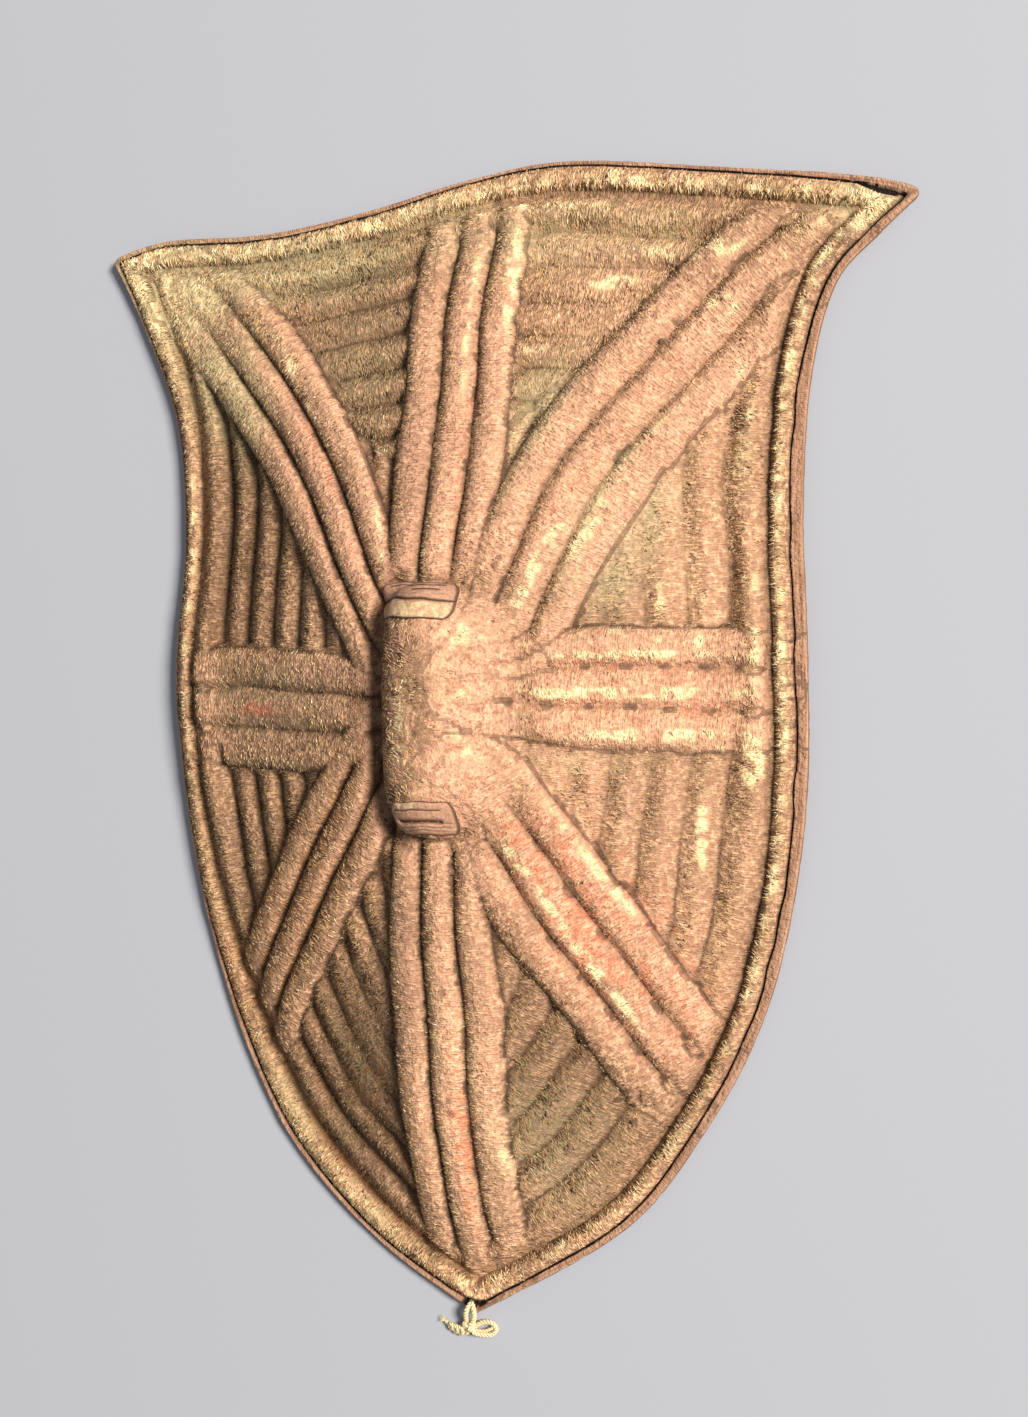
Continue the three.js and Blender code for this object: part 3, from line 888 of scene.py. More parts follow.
    # Where the panels' skin and hair alike are darker, mostly on the left half: smoke and grease
    # with painted shade, away from the key light.
    soot_and_shade: Patches = ovals(
        (-110, -310, 80, 130, 1, -10), (-225, -110, 70, 90, 0.55, -20), (-235, 180, 70, 130, 0.85),
        (-95, 350, 80, 110, 0.6), (75, -290, 80, 110, 0.65, 20), (120, 160, 50, 90, 0.3),
    )
    # Strips darker on the left sides of the north and south bands, of the boss and over the west
    # band: painted shade, away from the key light.
    left_side_shade: Patches = ovals(
        (-36, 230, 13, 100, 0.5), (-36, 30, 20, 90, 0.2), (-210, 36, 90, 50, 0.2),
        (-40, -180, 12, 80, 0.4),
    )
    # Where the side of each rib that the light misses is painted darker: painted shade.
    shaded: Patches = ovals(
        (-165, -130, 50, 150, 0.65, -33), (-110, -290, 50, 110, 0.5), (-40, -330, 10, 120, 0.6),
    )
    # Where the skin and hair are made lighter; on the roll at the lower left and down the left
    # border this is painted light, lifting a side that faces away from the key light.
    lightened: Patches = ovals(
        (-255, -215, 22, 90, 0.35, 19), (-203, -325, 24, 90, 0.5, 29),
        (-135, -405, 24, 80, 0.5, 47), (-19, -478, 50, 30, 0.95), (105, -415, 18, 90, 0.6, -45),
        (-325, 425, 80, 42, 0.9, -33), (330, 448, 60, 30, 0.5), (0, 482, 280, 18, 0.5, 3),
        (-290, 120, 16, 160, 0.55, -3), (-10, -300, 40, 130, 0.45), (190, 170, 40, 100, 0.25),
        (95, 400, 80, 60, 0.4), (-19, -440, 60, 40, 0.4),
    )
    blotch: Hills = Hills(21, 34)
    clump: Hills = Hills(25, 5.2)
    fleck: Hills = Hills(22, 7)
    tuft: Hills = Hills(23, 5)
    bar: Hills = Hills(24, 9)

    def masks(self, p: Places) -> dict[str, Array]:
        """How much of each finish the places have.

        Args:
            p: the places.

        Returns:
            Shares from 0 to 1 by name.
        """
        chart = self.relief.chart.at(p.x, p.y)
        hollow, proud, slope = chart[:, 0], chart[:, 1], chart[:, 2]
        hills, flecks, tufts, clumps = (
            0.5 + 0.5 * noise.at(p.x, p.y)
            for noise in (self.blotch, self.fleck, self.tuft, self.clump)
        )
        # How far each flank faces the key light, read off its slope and less on the left half; the
        # colours that follow it are painted light and painted shade.
        lit = smooth(-slope - 0.15 * smooth(-p.x, -20, 60), -0.5, 0.3)
        high = smooth(proud, -2.5, 2.5)
        inner = p.hem + p.gap
        groove = p.foot + self.relief.groove_wide
        roll = smooth(p.edge, inner, inner + 2) * smooth(groove + 2 - p.edge, 0, 6)
        faint = patches_at(self.relief.faint, p.x, p.y)
        panel = ((p.owner == PANEL) & (p.boss > 1.3)) * smooth(p.edge - groove, 0, 8)
        ochre_and_light = np.clip(0.15 + patches_at(self.ochre_and_light, p.x, p.y), 0, 1)
        # The ochre comes through more on the flanks that face the key light and less on those away
        # from it: ochre with painted light.
        ochre_and_light *= mix(0.35, 1.0, lit) * mix(0.6, 1.0, high) * mix(0.8, 1.1, hills)
        ochre_and_light *= (1 - 0.65 * roll) * (1 - 0.35 * panel * (1 - faint))
        clusters = smooth(0.5 * tufts + 0.5 * flecks, 0.36, 0.6)
        worn = patches_at(self.worn, p.x, p.y) * smooth(proud, -1.0, 1.5) * 1.1
        on_roll = roll * smooth(proud, 0.0, 2.5)
        bars = 0.5 + 0.5 * self.bar.at(p.rim, p.edge / 3)
        on_roll *= mix(0.35, 1.15, smooth(bars, 0.3, 0.7))
        inner_side = smooth(p.edge, self.relief.crest_at - 8, self.relief.crest_at - 1)
        right = smooth(p.x + 0.3 * p.y, 40, 230)
        worn = np.maximum(worn, 0.8 * on_roll * right * mix(0.1, 1, inner_side))
        worn = np.maximum(worn, 0.3 * on_roll * smooth(p.y, 430, 465))
        left_roll = mix(0.12, 0.45, smooth(p.y, -150, 120))
        worn = np.maximum(worn, mix(left_roll, 0.25, smooth(p.x, -150, 60)) * on_roll)
        worn = np.clip(worn * mix(0.1, 1.5, clusters), 0, 1)
        # The creases and hollows are painted dark: dirt with painted shade.
        thin_line = 1 - smooth(p.crease, 0.4, 1.6)
        inside_groove = smooth(p.edge, groove + 1, groove + 6)
        darkening = 1 - patches_at(self.weak_creases, p.x, p.y)
        deep = smooth(hollow, 0.2, 1.7) * inside_groove
        dark = np.maximum(0.9 * thin_line * smooth(hollow, 0.1, 0.7) * inside_groove, 0.7 * deep)
        # The painted shade and dirt in the creases are weakened where the creases are painted
        # faintly.
        dark *= mix(0.15, 1.0, darkening)
        # Painted shade in the groove inside the roll, stronger on the right, where the roll stands
        # between the groove and the key light, and weaker at the horns.
        beside_roll = bell(p.edge - p.foot, 2.5, 6.0) * mix(0.6, 1.05, tufts)
        at_tips = smooth(np.abs(p.x + 0.2 * p.y), 240, 330) * smooth(p.y, 330, 420)
        beside_roll = beside_roll * mix(0.5, 0.75, smooth(p.x, -60, 120)) * (1 - 0.7 * at_tips)
        dark = np.maximum(dark, beside_roll)
        # Painted shade on the flanks that face away from the key light.
        dark = np.maximum(dark, 0.8 * (1 - lit) * patches_at(self.shaded, p.x, p.y))
        # Painted shade in the moat at the boss's left foot and, broken into tufts, up the boss's
        # left side, away from the key light; that side also gets more fur and less ochre.
        moat = bell(p.boss, 1.6, 0.7) * smooth(self.relief.boss_x - p.x, 10, 34)
        dark = np.maximum(dark, 0.6 * moat)
        leftward = smooth(self.relief.boss_x - p.x + 12 * (flecks - 0.5), -24, 32)
        boss_side = smooth(1.2 - p.boss, 0, 0.2) * leftward
        dark = np.maximum(dark, 0.75 * boss_side * smooth(0.6 * tufts + 0.4 * flecks, 0.5, 0.66))
        bald = patches_at(self.bald, p.x, p.y)
        ochre_and_light *= 1 - 0.6 * boss_side
        # The fur, and with it the darker coat colour, is thicker on the flanks away from the key
        # light and on the boss's left side: real hair with painted shade.
        fur_and_shade = 0.08 + 0.55 * (1 - lit) + 0.3 * panel * (1 - 0.6 * faint)
        fur_and_shade += 0.4 * roll * mix(0.3, 1, inner_side)
        fur_and_shade += 0.25 * dark + boss_side - 0.25 * ochre_and_light
        fur_and_shade = fur_and_shade * (1 - 0.75 * bald * (1 - roll)) + 0.6 * worn
        fur_and_shade *= mix(0.55, 1.3, smooth(0.5 * hills + 0.5 * flecks, 0.3, 0.7))
        soot_and_shade = np.maximum(patches_at(self.soot_and_shade, p.x, p.y) * panel, patches_at(self.left_side_shade, p.x, p.y))
        # The lightened places take off darkness; at the lower left and the left border this is
        # painted light.
        soot_and_shade = soot_and_shade - patches_at(self.lightened, p.x, p.y)
        # The low places of the left half are darker too: painted shade.
        soot_and_shade += 0.4 * (0.6 - high) * smooth(-p.x, -60, 80)
        red = patches_at(self.red, p.x, p.y) * mix(0.15, 1.2, smooth(clumps, 0.25, 0.7))
        olive = patches_at(self.olive, p.x, p.y) * mix(0.6, 1.2, hills)
        # The rusty brown gathers in the low places and on the flanks away from the key light: rusty
        # hair with painted shade.
        rust_and_shade = patches_at(self.rust_and_shade, p.x, p.y) * mix(0.5, 1.2, flecks)
        rust_and_shade = rust_and_shade * mix(1.5, 0.3, 0.5 * (high + lit))
        clean_hem = smooth(p.x - 0.4 * (p.y - 450), -330, -60)
        # The crevice behind the hem and the dent round the slit are painted near black: painted
        # shade.
        crevice = (p.edge > p.hem - 0.1) & (p.edge < p.hem + p.gap + 0.4)
        beside_slit = self.relief.slit_share(p.x, p.y) > 0.45
        return {
            "ochre_and_light": np.clip(ochre_and_light, 0, 1),
            "red": np.clip(red, 0, 1),
            "worn": worn,
            "olive": np.clip(olive, 0, 1),
            "rust_and_shade": np.clip(rust_and_shade, 0, 1),
            "hem": (p.edge < p.hem + 0.2) * mix(0.45, 1.0, clean_hem),
            "dark": np.clip(dark, 0, 1),
            "crevice": (crevice | beside_slit).astype(float),
            "lit": lit,
            "fur_and_shade": np.clip(fur_and_shade, 0, 1),
            "soot_and_shade": soot_and_shade,
            "clump": clumps,
        }


# ---- Finishes ----


class Tree:
    """A new material's node tree."""

    def __init__(self, name: str) -> None:
        """Makes an empty material of this name."""
        self.material = bpy.data.materials.new(name)
        self.material.use_nodes = True
        self.nodes = self.material.node_tree.nodes
        self.nodes.clear()

    def add(self, kind: str, inputs: dict[Any, Any] | None = None, **settings: Any) -> Node:
        """Adds a node.

        Args:
            kind: the shader node's type.
            inputs: for each socket a value, an output, or a node whose first open output it takes.
            **settings: the node's own settings.

        Returns:
            The new node.
        """
        node = self.nodes.new("ShaderNode" + kind)
        for name, value in settings.items():
            setattr(node, name, value)
        for key, value in (inputs or {}).items():
            if isinstance(value, Node):
                value = next(output for output in value.outputs if output.enabled)
            if isinstance(value, bpy.types.NodeSocket):
                self.material.node_tree.links.new(value, node.inputs[key])
            else:
                node.inputs[key].default_value = value
        return node

    def surface(self, shader: Node) -> Material:
        """Ends the tree with this shader, and gives its material."""
        self.add("OutputMaterial", {"Surface": shader})
        return self.material


@dataclass(frozen=True)
class HairOnRawhide:
    """Rawhide dried with its hair on: matte, brown in its creases, ochre rubbed into its crests.

    The ochre gives a soft salmon bloom on what a hand passes over, and more of it on the flanks that
    face the key light, which is painted light. The brown in the creases, hollows and shaded flanks
    is dirt with painted shade, the crevice behind the hem is painted near black as shade, worn
    places show pale stubble, and the bare flesh side and the cut hem show through as pinkish tan.
    """

    coat_light: str = "C09B70"
    coat_dark: str = "6A4D36"
    skin: str = "BA9272"  # where the hair is worn off
    skin_dark: str = "966F54"
    # salmon ochre, also painted light: it shows more on the flanks that face the key light
    ochre_and_light: str = "C79677"
    red: str = "CF8160"
    worn: str = "E6CC9A"
    olive: str = "B5A67C"
    # rusty brown, also painted shade on the flanks away from the key light
    rust_and_shade: str = "A96F3F"
    hem: str = "B58D72"
    hem_dark: str = "8F6A51"
    # painted shade with dirt, in the creases, hollows and shaded flanks
    crease: str = "4A3321"
    # painted shade: near black in the crevice behind the hem and round the slit
    crevice: str = "1C130C"
    flesh: str = "B08F6C"
    flesh_dark: str = "876548"
    hair_mm: float = 1.1  # hairs are finer; drawn as coarse as a tuft of them
    hair_length_mm: float = 5.0
    blotch_mm: float = 28.0
    mottle_mm: float = 5.0
    pore_mm: float = 2.2
    roughness: float = 0.82
    ior: float = 1.45

    def build(self) -> Material:
        """Makes the material.

        Returns:
            The material.
        """
        tree = Tree("hair_on_rawhide")
        add = tree.add
        object_at = add("TexCoord").outputs["Object"]
        nap = add("Attribute", attribute_name="nap").outputs["Vector"]
        streak_scale = (1 / (self.hair_length_mm * 1.3), 1 / self.hair_mm, 1.0)
        streaks_at = add("VectorMath", {0: nap, 1: streak_scale}, operation="MULTIPLY")
        streak = add("TexNoise", {"Vector": streaks_at, "Scale": 0.8, "Detail": 2.0},
                     noise_dimensions="2D")
        blotch, pore, mottle = (
            add("TexNoise", {"Vector": object_at, "Scale": 1 / (size_mm * MM), "Detail": detail})
            for size_mm, detail in ((self.blotch_mm, 4), (self.pore_mm, 2), (self.mottle_mm, 3))
        )
        rough_mix = add("Math", {0: streak, 1: pore}, operation="ADD")
        masks = {
            name: add("Attribute", attribute_name=name).outputs["Fac"]
            for name in ("ochre_and_light", "red", "worn", "olive", "rust_and_shade", "hem", "dark", "crevice",
                         "under", "fur_and_shade", "soot_and_shade")
        }
        stroke = add("MapRange", {0: streak, 1: 0.34, 2: 0.66})
        coat = add("Mix", {0: stroke, 6: srgb(self.coat_dark), 7: srgb(self.coat_light)},
                   data_type="RGBA")
        patchy = add("MapRange", {0: mottle, 1: 0.36, 2: 0.64})
        skin = add("Mix", {0: patchy, 6: srgb(self.skin_dark), 7: srgb(self.skin)},
                   data_type="RGBA")
        # More fur shows the darker coat; on the flanks away from the key light this is painted
        # shade.
        colour = add("Mix", {0: masks["fur_and_shade"], 6: skin, 7: coat}, data_type="RGBA")
        # Each finish breaks up along the hair: it comes through where its share beats the streaks.
        broken = add("Math", {0: rough_mix, 1: mottle}, operation="ADD")
        layers = (
            ("rust_and_shade", self.rust_and_shade, 0.75), ("olive", self.olive, 0.8), ("ochre_and_light", self.ochre_and_light, 1.0),
            ("red", self.red, 0.85), ("worn", self.worn, 1.0),
        )
        for name, code, most in layers:
            beaten = add("Math", {0: broken, 1: -0.9, 2: masks[name]}, operation="MULTIPLY_ADD")
            share = add("MapRange", {0: beaten, 1: -1.12, 2: -0.62, 3: 0.0, 4: most})
            colour = add("Mix", {0: share, 6: colour, 7: srgb(code)}, data_type="RGBA")
        # Each of these makes the colour lighter and darker, between its last two numbers.
        tones = [
            add("MapRange", {0: source, 1: low, 2: high, 3: dim, 4: bright})
            for source, low, high, dim, bright in (
                (blotch, 0.3, 0.7, 0.86, 1.12), (rough_mix, 0.7, 1.3, 0.52, 1.4),
                (mottle, 0.36, 0.64, 0.78, 1.2),
            )
        ]
        # Soot and the painted shade on the left half darken the colour.
        tones.append(add("Math", {0: masks["soot_and_shade"], 1: -0.45, 2: 1.0},
                         operation="MULTIPLY_ADD"))
        for tone in tones:
            colour = add("VectorMath", {0: colour, "Scale": tone}, operation="SCALE")
        # The dark share paints the crease colour into the creases, hollows, the groove inside the
        # roll and the shaded flanks: painted shade with dirt.
        ragged = add("Math", {0: rough_mix, 1: 0.9, 2: masks["dark"]}, operation="MULTIPLY_ADD")
        shadow = add("MapRange", {0: ragged, 1: 1.1, 2: 1.75, 3: 0.0, 4: 0.85})
        colour = add("Mix", {0: shadow, 6: colour, 7: srgb(self.crease)}, data_type="RGBA")
        # The hem's edge is split into fine layers along the rim.
        rim = add("Attribute", attribute_name="rim").outputs["Vector"]
        layer_at = add("VectorMath", {0: rim, 1: (0.02, 0.45, 1.0)}, operation="MULTIPLY")
        split = add("TexNoise", {"Vector": layer_at, "Scale": 1.0, "Detail": 3.0},
                    noise_dimensions="2D")
        split_share = add("MapRange", {0: split, 1: 0.3, 2: 0.7})
        hem = add("Mix", {0: split_share, 6: srgb(self.hem_dark), 7: srgb(self.hem)},
                  data_type="RGBA")
        flesh = add("Mix", {0: blotch, 6: srgb(self.flesh_dark), 7: srgb(self.flesh)},
                    data_type="RGBA")
        for name, other in (("hem", hem), ("crevice", srgb(self.crevice)), ("under", flesh)):
            colour = add("Mix", {0: masks[name], 6: colour, 7: other}, data_type="RGBA")
        lumps = add("Math", {0: mottle, 1: 2.2, 2: rough_mix}, operation="MULTIPLY_ADD")
        bump = add("Bump", {"Strength": 0.9, "Distance": 0.0015, "Height": lumps})
        low, high = self.roughness - 0.08, self.roughness + 0.08
        rough = add("MapRange", {0: pore, 1: 0.3, 2: 0.7, 3: low, 4: high})
        shader = add("BsdfPrincipled", {
            "Base Color": colour, "Roughness": rough, "IOR": self.ior, "Normal": bump,
            "Specular IOR Level": 0.3,
        })
        return tree.surface(shader)


@dataclass(frozen=True)
class HideHair:
    """Short cattle hair: coarse, dull, dark at its root and bleached at its tip."""

    roughness: float = 0.85
    ior: float = 1.55

    def build(self) -> Material:
        """Makes the material, which takes each tuft's own colour.

        Returns:
            The material.
        """
        tree = Tree("hide_hair")
        coat = tree.add("Attribute", attribute_name="coat").outputs["Color"]
        shader = tree.add("BsdfPrincipled", {
            "Base Color": coat, "Roughness": self.roughness, "IOR": self.ior,
            "Specular IOR Level": 0.25,
        })
        return tree.surface(shader)


@dataclass(frozen=True)
class FoldedRawhide:
    """Bare rawhide, folded wet and dried hard: pale straw where rubbed, pinkish in its folds,
    painted dark in the grooves of its folds and along the tabs' edges as shade and shadow.
    """

    pale: str = "C9AD83"
    pink: str = "A98066"
    stain: str = "A06A35"
    # painted shade and shadow, in the folds' grooves and along the tabs' edges
    dark: str = "3A2416"
    grain_mm: float = 2.0
    blotch_mm: float = 6.0
    roughness: float = 0.72
    ior: float = 1.5

    def build(self) -> Material:
        """Makes the material.

        Returns:
            The material.
        """
        tree = Tree("folded_rawhide")
        add = tree.add
        object_at = add("TexCoord").outputs["Object"]
        grain, blotch = (
            add("TexNoise", {"Vector": object_at, "Scale": 1 / (size_mm * MM), "Detail": 4.0})
            for size_mm in (self.grain_mm, self.blotch_mm)
        )
        masks = {name: add("Attribute", attribute_name=name).outputs["Fac"]
                 for name in ("pale", "stain", "dark")}
        ragged = add("Math", {0: blotch, 1: 2.0, 2: masks["pale"]}, operation="MULTIPLY_ADD")
        share = add("MapRange", {0: ragged, 1: 1.55, 2: 2.25})
        colour = add("Mix", {0: share, 6: srgb(self.pink), 7: srgb(self.pale)}, data_type="RGBA")
        tone = add("MapRange", {0: grain, 1: 0.3, 2: 0.7, 3: 0.66, 4: 1.22})
        colour = add("VectorMath", {0: colour, "Scale": tone}, operation="SCALE")
        for name, code in (("stain", self.stain), ("dark", self.dark)):
            colour = add("Mix", {0: masks[name], 6: colour, 7: srgb(code)}, data_type="RGBA")
        bump = add("Bump", {"Strength": 0.5, "Distance": 0.0008, "Height": grain})
        shader = add("BsdfPrincipled", {
            "Base Color": colour, "Roughness": self.roughness, "IOR": self.ior,
            "Normal": bump, "Specular IOR Level": 0.35,
        })
        return tree.surface(shader)


@dataclass(frozen=True)
class TwistedCotton:
    """Undyed cotton cord: chalky and cream, painted darker in the lay between its strands as shade.
    """

    cream: str = "DCCBA2"
    # the grooves between the strands: painted shade
    darkening: str = "97774F"
    fibre_mm: float = 0.8  # fibres are finer; drawn as coarse as they show
    roughness: float = 0.92
    ior: float = 1.5

    def build(self) -> Material:
        """Makes the material.

        Returns:
            The material.
        """
        tree = Tree("twisted_cotton")
        add = tree.add
        object_at = add("TexCoord").outputs["Object"]
        scale = 1 / (self.fibre_mm * MM)
        fibre = add("TexNoise", {"Vector": object_at, "Scale": scale, "Detail": 3.0})
        # Where a strand sinks into the lay the colour turns darker: painted shade in the grooves.
        lay = add("Attribute", attribute_name="lay").outputs["Fac"]
        ragged = add("Math", {0: fibre, 1: 0.7, 2: lay}, operation="MULTIPLY_ADD")
        share = add("MapRange", {0: ragged, 1: 0.45, 2: 1.0})
        colour = add("Mix", {0: share, 6: srgb(self.darkening), 7: srgb(self.cream)}, data_type="RGBA")
        bump = add("Bump", {"Strength": 0.6, "Distance": 0.0004, "Height": fibre})
        shader = add("BsdfPrincipled", {
            "Base Color": colour, "Roughness": self.roughness, "IOR": self.ior,
            "Normal": bump, "Specular IOR Level": 0.2,
        })
        return tree.surface(shader)


# ---- Pieces ----


class Slot(Enum):
    """The record's material slots."""

    HIDE = "hide"
    STRAP = "rawhide_strap"
    CORD = "cotton_cord"


@dataclass
class Plan:
    """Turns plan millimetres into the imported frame's metres."""

    shift: Array

    @classmethod
    def from_frame(cls, outline: Outline, bar: float) -> "Plan":
        """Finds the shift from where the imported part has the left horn, the foot and the grip bar.

        Args:
            outline: the hide's outline.
            bar: the plan height of the underside of the grip bar.

        Returns:
            The plan.
        """
        low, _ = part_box("hide_shell")
        bar_low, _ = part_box("grip_strap")
        return cls(np.array([low.x / MM - outline.horn_left[0], low.y / MM - outline.foot[1],
                             bar_low.z / MM - bar]))

    def place(self, points: Array) -> Array:
        """Plan points in metres."""
        return (points + self.shift) * MM

    @property
    def floor(self) -> float:
        """The plan height of the floor that the shield lies on."""
        return -float(self.shift[2])


def make_mesh(name: str, points: Array, faces: Array, sides: int = 3) -> Piece:
    """Makes a mesh object from arrays.

    Args:
        name: the piece's name.
        points: places in metres, one row each.
        faces: point numbers, one row a face.
        sides: how many corners every face has.

    Returns:
        The new object.
    """
    mesh = bpy.data.meshes.new(name)
    mesh.vertices.add(len(points))
    mesh.vertices.foreach_set("co", np.ascontiguousarray(points, np.float32).ravel())
    mesh.loops.add(len(faces) * sides)
    mesh.loops.foreach_set("vertex_index", np.ascontiguousarray(faces, np.int32).ravel())
    mesh.polygons.add(len(faces))
    mesh.polygons.foreach_set("loop_start", np.arange(0, len(faces) * sides, sides, dtype=np.int32))
    mesh.update(calc_edges=True)
    mesh.validate()
    piece = bpy.data.objects.new(name, mesh)
    bpy.context.scene.collection.objects.link(piece)
    return piece


def give(piece: Piece, name: str, values: Array, kind: str = "FLOAT") -> None:
    """Stores a value for each point of a piece's mesh.

    Args:
        piece: the piece.
        name: the name that its material reads.
        values: the values.
        kind: number, vector or colour, in Blender's word.
    """
    key = {"FLOAT": "value", "FLOAT_VECTOR": "vector", "FLOAT_COLOR": "color"}[kind]
    layer = piece.data.attributes.new(name, kind, "POINT")
    layer.data.foreach_set(key, np.ascontiguousarray(values, np.float32).ravel())


def dress(
    piece: Piece, material: Material, slot: Slot, smooth_faces: bool = True
) -> None:
    """Gives a piece its finish and its body, and reports it.

    Args:
        piece: the piece.
        material: its finish.
        slot: not used.
        smooth_faces: whether it is shaded smooth.
    """
    piece.data.materials.append(material)
    piece.data.polygons.foreach_set("use_smooth", [smooth_faces] * len(piece.data.polygons))
    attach(piece, "root")
    LOG.info("%s: %d faces", piece.name, len(piece.data.polygons))


def set_bake_map(piece: Piece, corners: Array) -> None:
    """Lays the piece's faces out flat, one row a corner."""
    layer = piece.data.uv_layers.new(name=BAKE_MAP)
    layer.data.foreach_set("uv", np.ascontiguousarray(corners, np.float32).ravel())


@dataclass
class Cut:
    """A straight-sided opening through the hide."""

    x: float
    y: float
    width: float
    length: float

    def loop(self, step: float = 2.5) -> Array:
        """Points round its edge, anticlockwise."""
        w, h = self.width / 2, self.length / 2
        corners = np.array([(-w, -h), (w, -h), (w, h), (-w, h), (-w, -h)]) + (self.x, self.y)
        sides = [evenly(corners[k : k + 2], step)[0] for k in range(4)]
        return np.vstack(sides)

    def holds(self, places: Array, room: float = 0.0) -> Array:
        """Whether each place is in it, or within room of it."""
        away = np.abs(places - (self.x, self.y))
        return (away[:, 0] < self.width / 2 + room) & (away[:, 1] < self.length / 2 + room)


@dataclass
class Hide:
    """The skin: hair side, flesh side, cut edge, the strap's two slots and the cord's slit."""

    plan: Plan
    outline: Outline
    relief: Relief
    wear: Wear
    cuts: tuple[Cut, ...]
    edge_step: float = 3.0
    rib_step: float = 3.0
    fill_step: float = 3.2
    under_step: float = 6.5
    panel_rows: int = 10  # half ribs from the border to the deepest place of a panel
    floor_room: float = 0.15
    edge_thin: float = 0.8  # how much thinner than the rest the cut edge is

    def rim_line(self) -> Array:
        """The edge with its horns rounded, as a closed line."""
        loop = self.outline.eased(self.outline.walk(self.edge_step)[0][:-1])
        return np.vstack([loop, loop[:1]])

    def rings(self, step: float, stations: tuple[float, ...]) -> tuple[Array, Array]:
        """Rows of points beside the edge, without those that another edge is nearer to.

        Args:
            step: how far apart the points of a row are.
            stations: where the rows are. Up to 1 is a share of the hem, from 1 to 2 the crevice and
                from 2 to 3 the rest of the way to the groove.

        Returns:
            The points and their distances from the edge.
        """
        line, widths = self.outline.walk(step)
        loop = line[:-1]
        hem, gap, foot = widths[:-1].T
        inward, rim = inward_from(loop), self.rim_line()
        rows, depths = [], []
        for station in stations:
            share, zone = math.modf(station)
            if zone == 0:
                depth = hem * share
            elif zone == 1:
                depth = hem + gap * share
            else:
                depth = mix(hem + gap, foot + self.relief.groove_wide, share)
            row = loop + inward * depth[:, None]
            near, _, _ = nearest_on(row, self.outline.line)
            clear = (near > depth - 0.5) & inside(row, rim)
            rows.append(row[clear])
            depths.append(depth[clear])
        return np.vstack(rows), np.concatenate(depths)

    def rows(self, step: float, half_ribs: tuple[int, ...]) -> Array:
        """Points along the crests and creases of the bands and the panels, where they really run.

        Args:
            step: how far apart the points of a row are.
            half_ribs: which half ribs of a band have a row, counted from its middle.

        Returns:
            The points.
        """
        found = []
        for band in BANDS:
            middle = band.line()
            places, share = evenly(middle, step)
            way = unit(np.gradient(places, axis=0))
            aside = np.stack([-way[:, 1], way[:, 0]], 1) * band.pitch_at(share)[:, None]
            found += [places + aside * half / 2 for half in half_ribs]
        places = np.vstack(found)
        line, widths = self.outline.walk(step)
        loop, foot = line[:-1], widths[:-1, 2]
        inward = inward_from(loop)
        panel = []
        for half in range(1, self.panel_rows + 1):
            depth = foot + self.relief.groove_wide + half * self.relief.panel_pitch / 2
            row = loop + inward * depth[:, None]
            near, _, _ = nearest_on(row, self.outline.line)
            row = row[(near > depth - 0.6) & inside(row, self.outline.line)]
            known = self.relief.ground.at(row[:, 0], row[:, 1])
            across = np.abs(known[:, 6::2]).min(1)
            panel.append(row[across > self.relief.band_half + 0.12])
        places = np.vstack([places, *panel])
        x, y = self.relief.unstray(places[:, 0], places[:, 1])
        places = np.stack([x, y], 1)
        known = self.relief.ground.at(x, y)
        return places[known[:, 0] > known[:, 4] + self.relief.groove_wide + 3]

    def side(self, groups: list[tuple[Array, float]], loops: list[Array]) -> tuple[Array, Array]:
        """Joins points into triangles that keep to the loops.

        Args:
            groups: points and the room that they need, the loops' own first.
            loops: closed rows of points: the outline, then the cuts.

        Returns:
            The points, the loops' own first, and the triangles, anticlockwise.
        """
        rims = np.vstack(loops)
        kept = with_room([(rims, 0.0), *groups])
        edges, start = [], 0
        for loop in loops:
            numbers = np.arange(len(loop))
            edges += list(zip((start + numbers).tolist(), (start + np.roll(numbers, -1)).tolist()))
            start += len(loop)
        flat = [Vector(p) for p in kept.tolist()]
        made, _, faces, _, _, _ = delaunay_2d_cdt(flat, edges, [], 0, 1e-6, False)
        if len(made) != len(kept):
            raise ValueError("the mesh's points crossed its loops")
        triangles = np.array([f for f in faces if len(f) == 3])
        corners = kept[triangles]
        middle = corners.mean(1)
        good = inside(middle, np.vstack([loops[0], loops[0][:1]]))
        for cut in self.cuts:
            good &= ~cut.holds(middle)
        triangles, corners = triangles[good], corners[good]
        a, b = corners[:, 1] - corners[:, 0], corners[:, 2] - corners[:, 0]
        turned = a[:, 0] * b[:, 1] - a[:, 1] * b[:, 0] < 0
        triangles[turned] = triangles[turned][:, ::-1]
        return kept, triangles

    def clear_of_cuts(self, places: Array, room: float) -> Array:
        """Leaves out the places in a cut or close to it."""
        held = np.zeros(len(places), bool)
        for cut in self.cuts:
            held |= cut.holds(places, room)
        return places[~held]

    def filling(self, step: float) -> Array:
        """Points that fill the hide inside its border."""
        grid = self.relief.ground
        places = honeycomb(grid.low, grid.high, step)
        known = grid.at(places[:, 0], places[:, 1])
        return places[known[:, 0] > known[:, 4] + self.relief.groove_wide + 1]

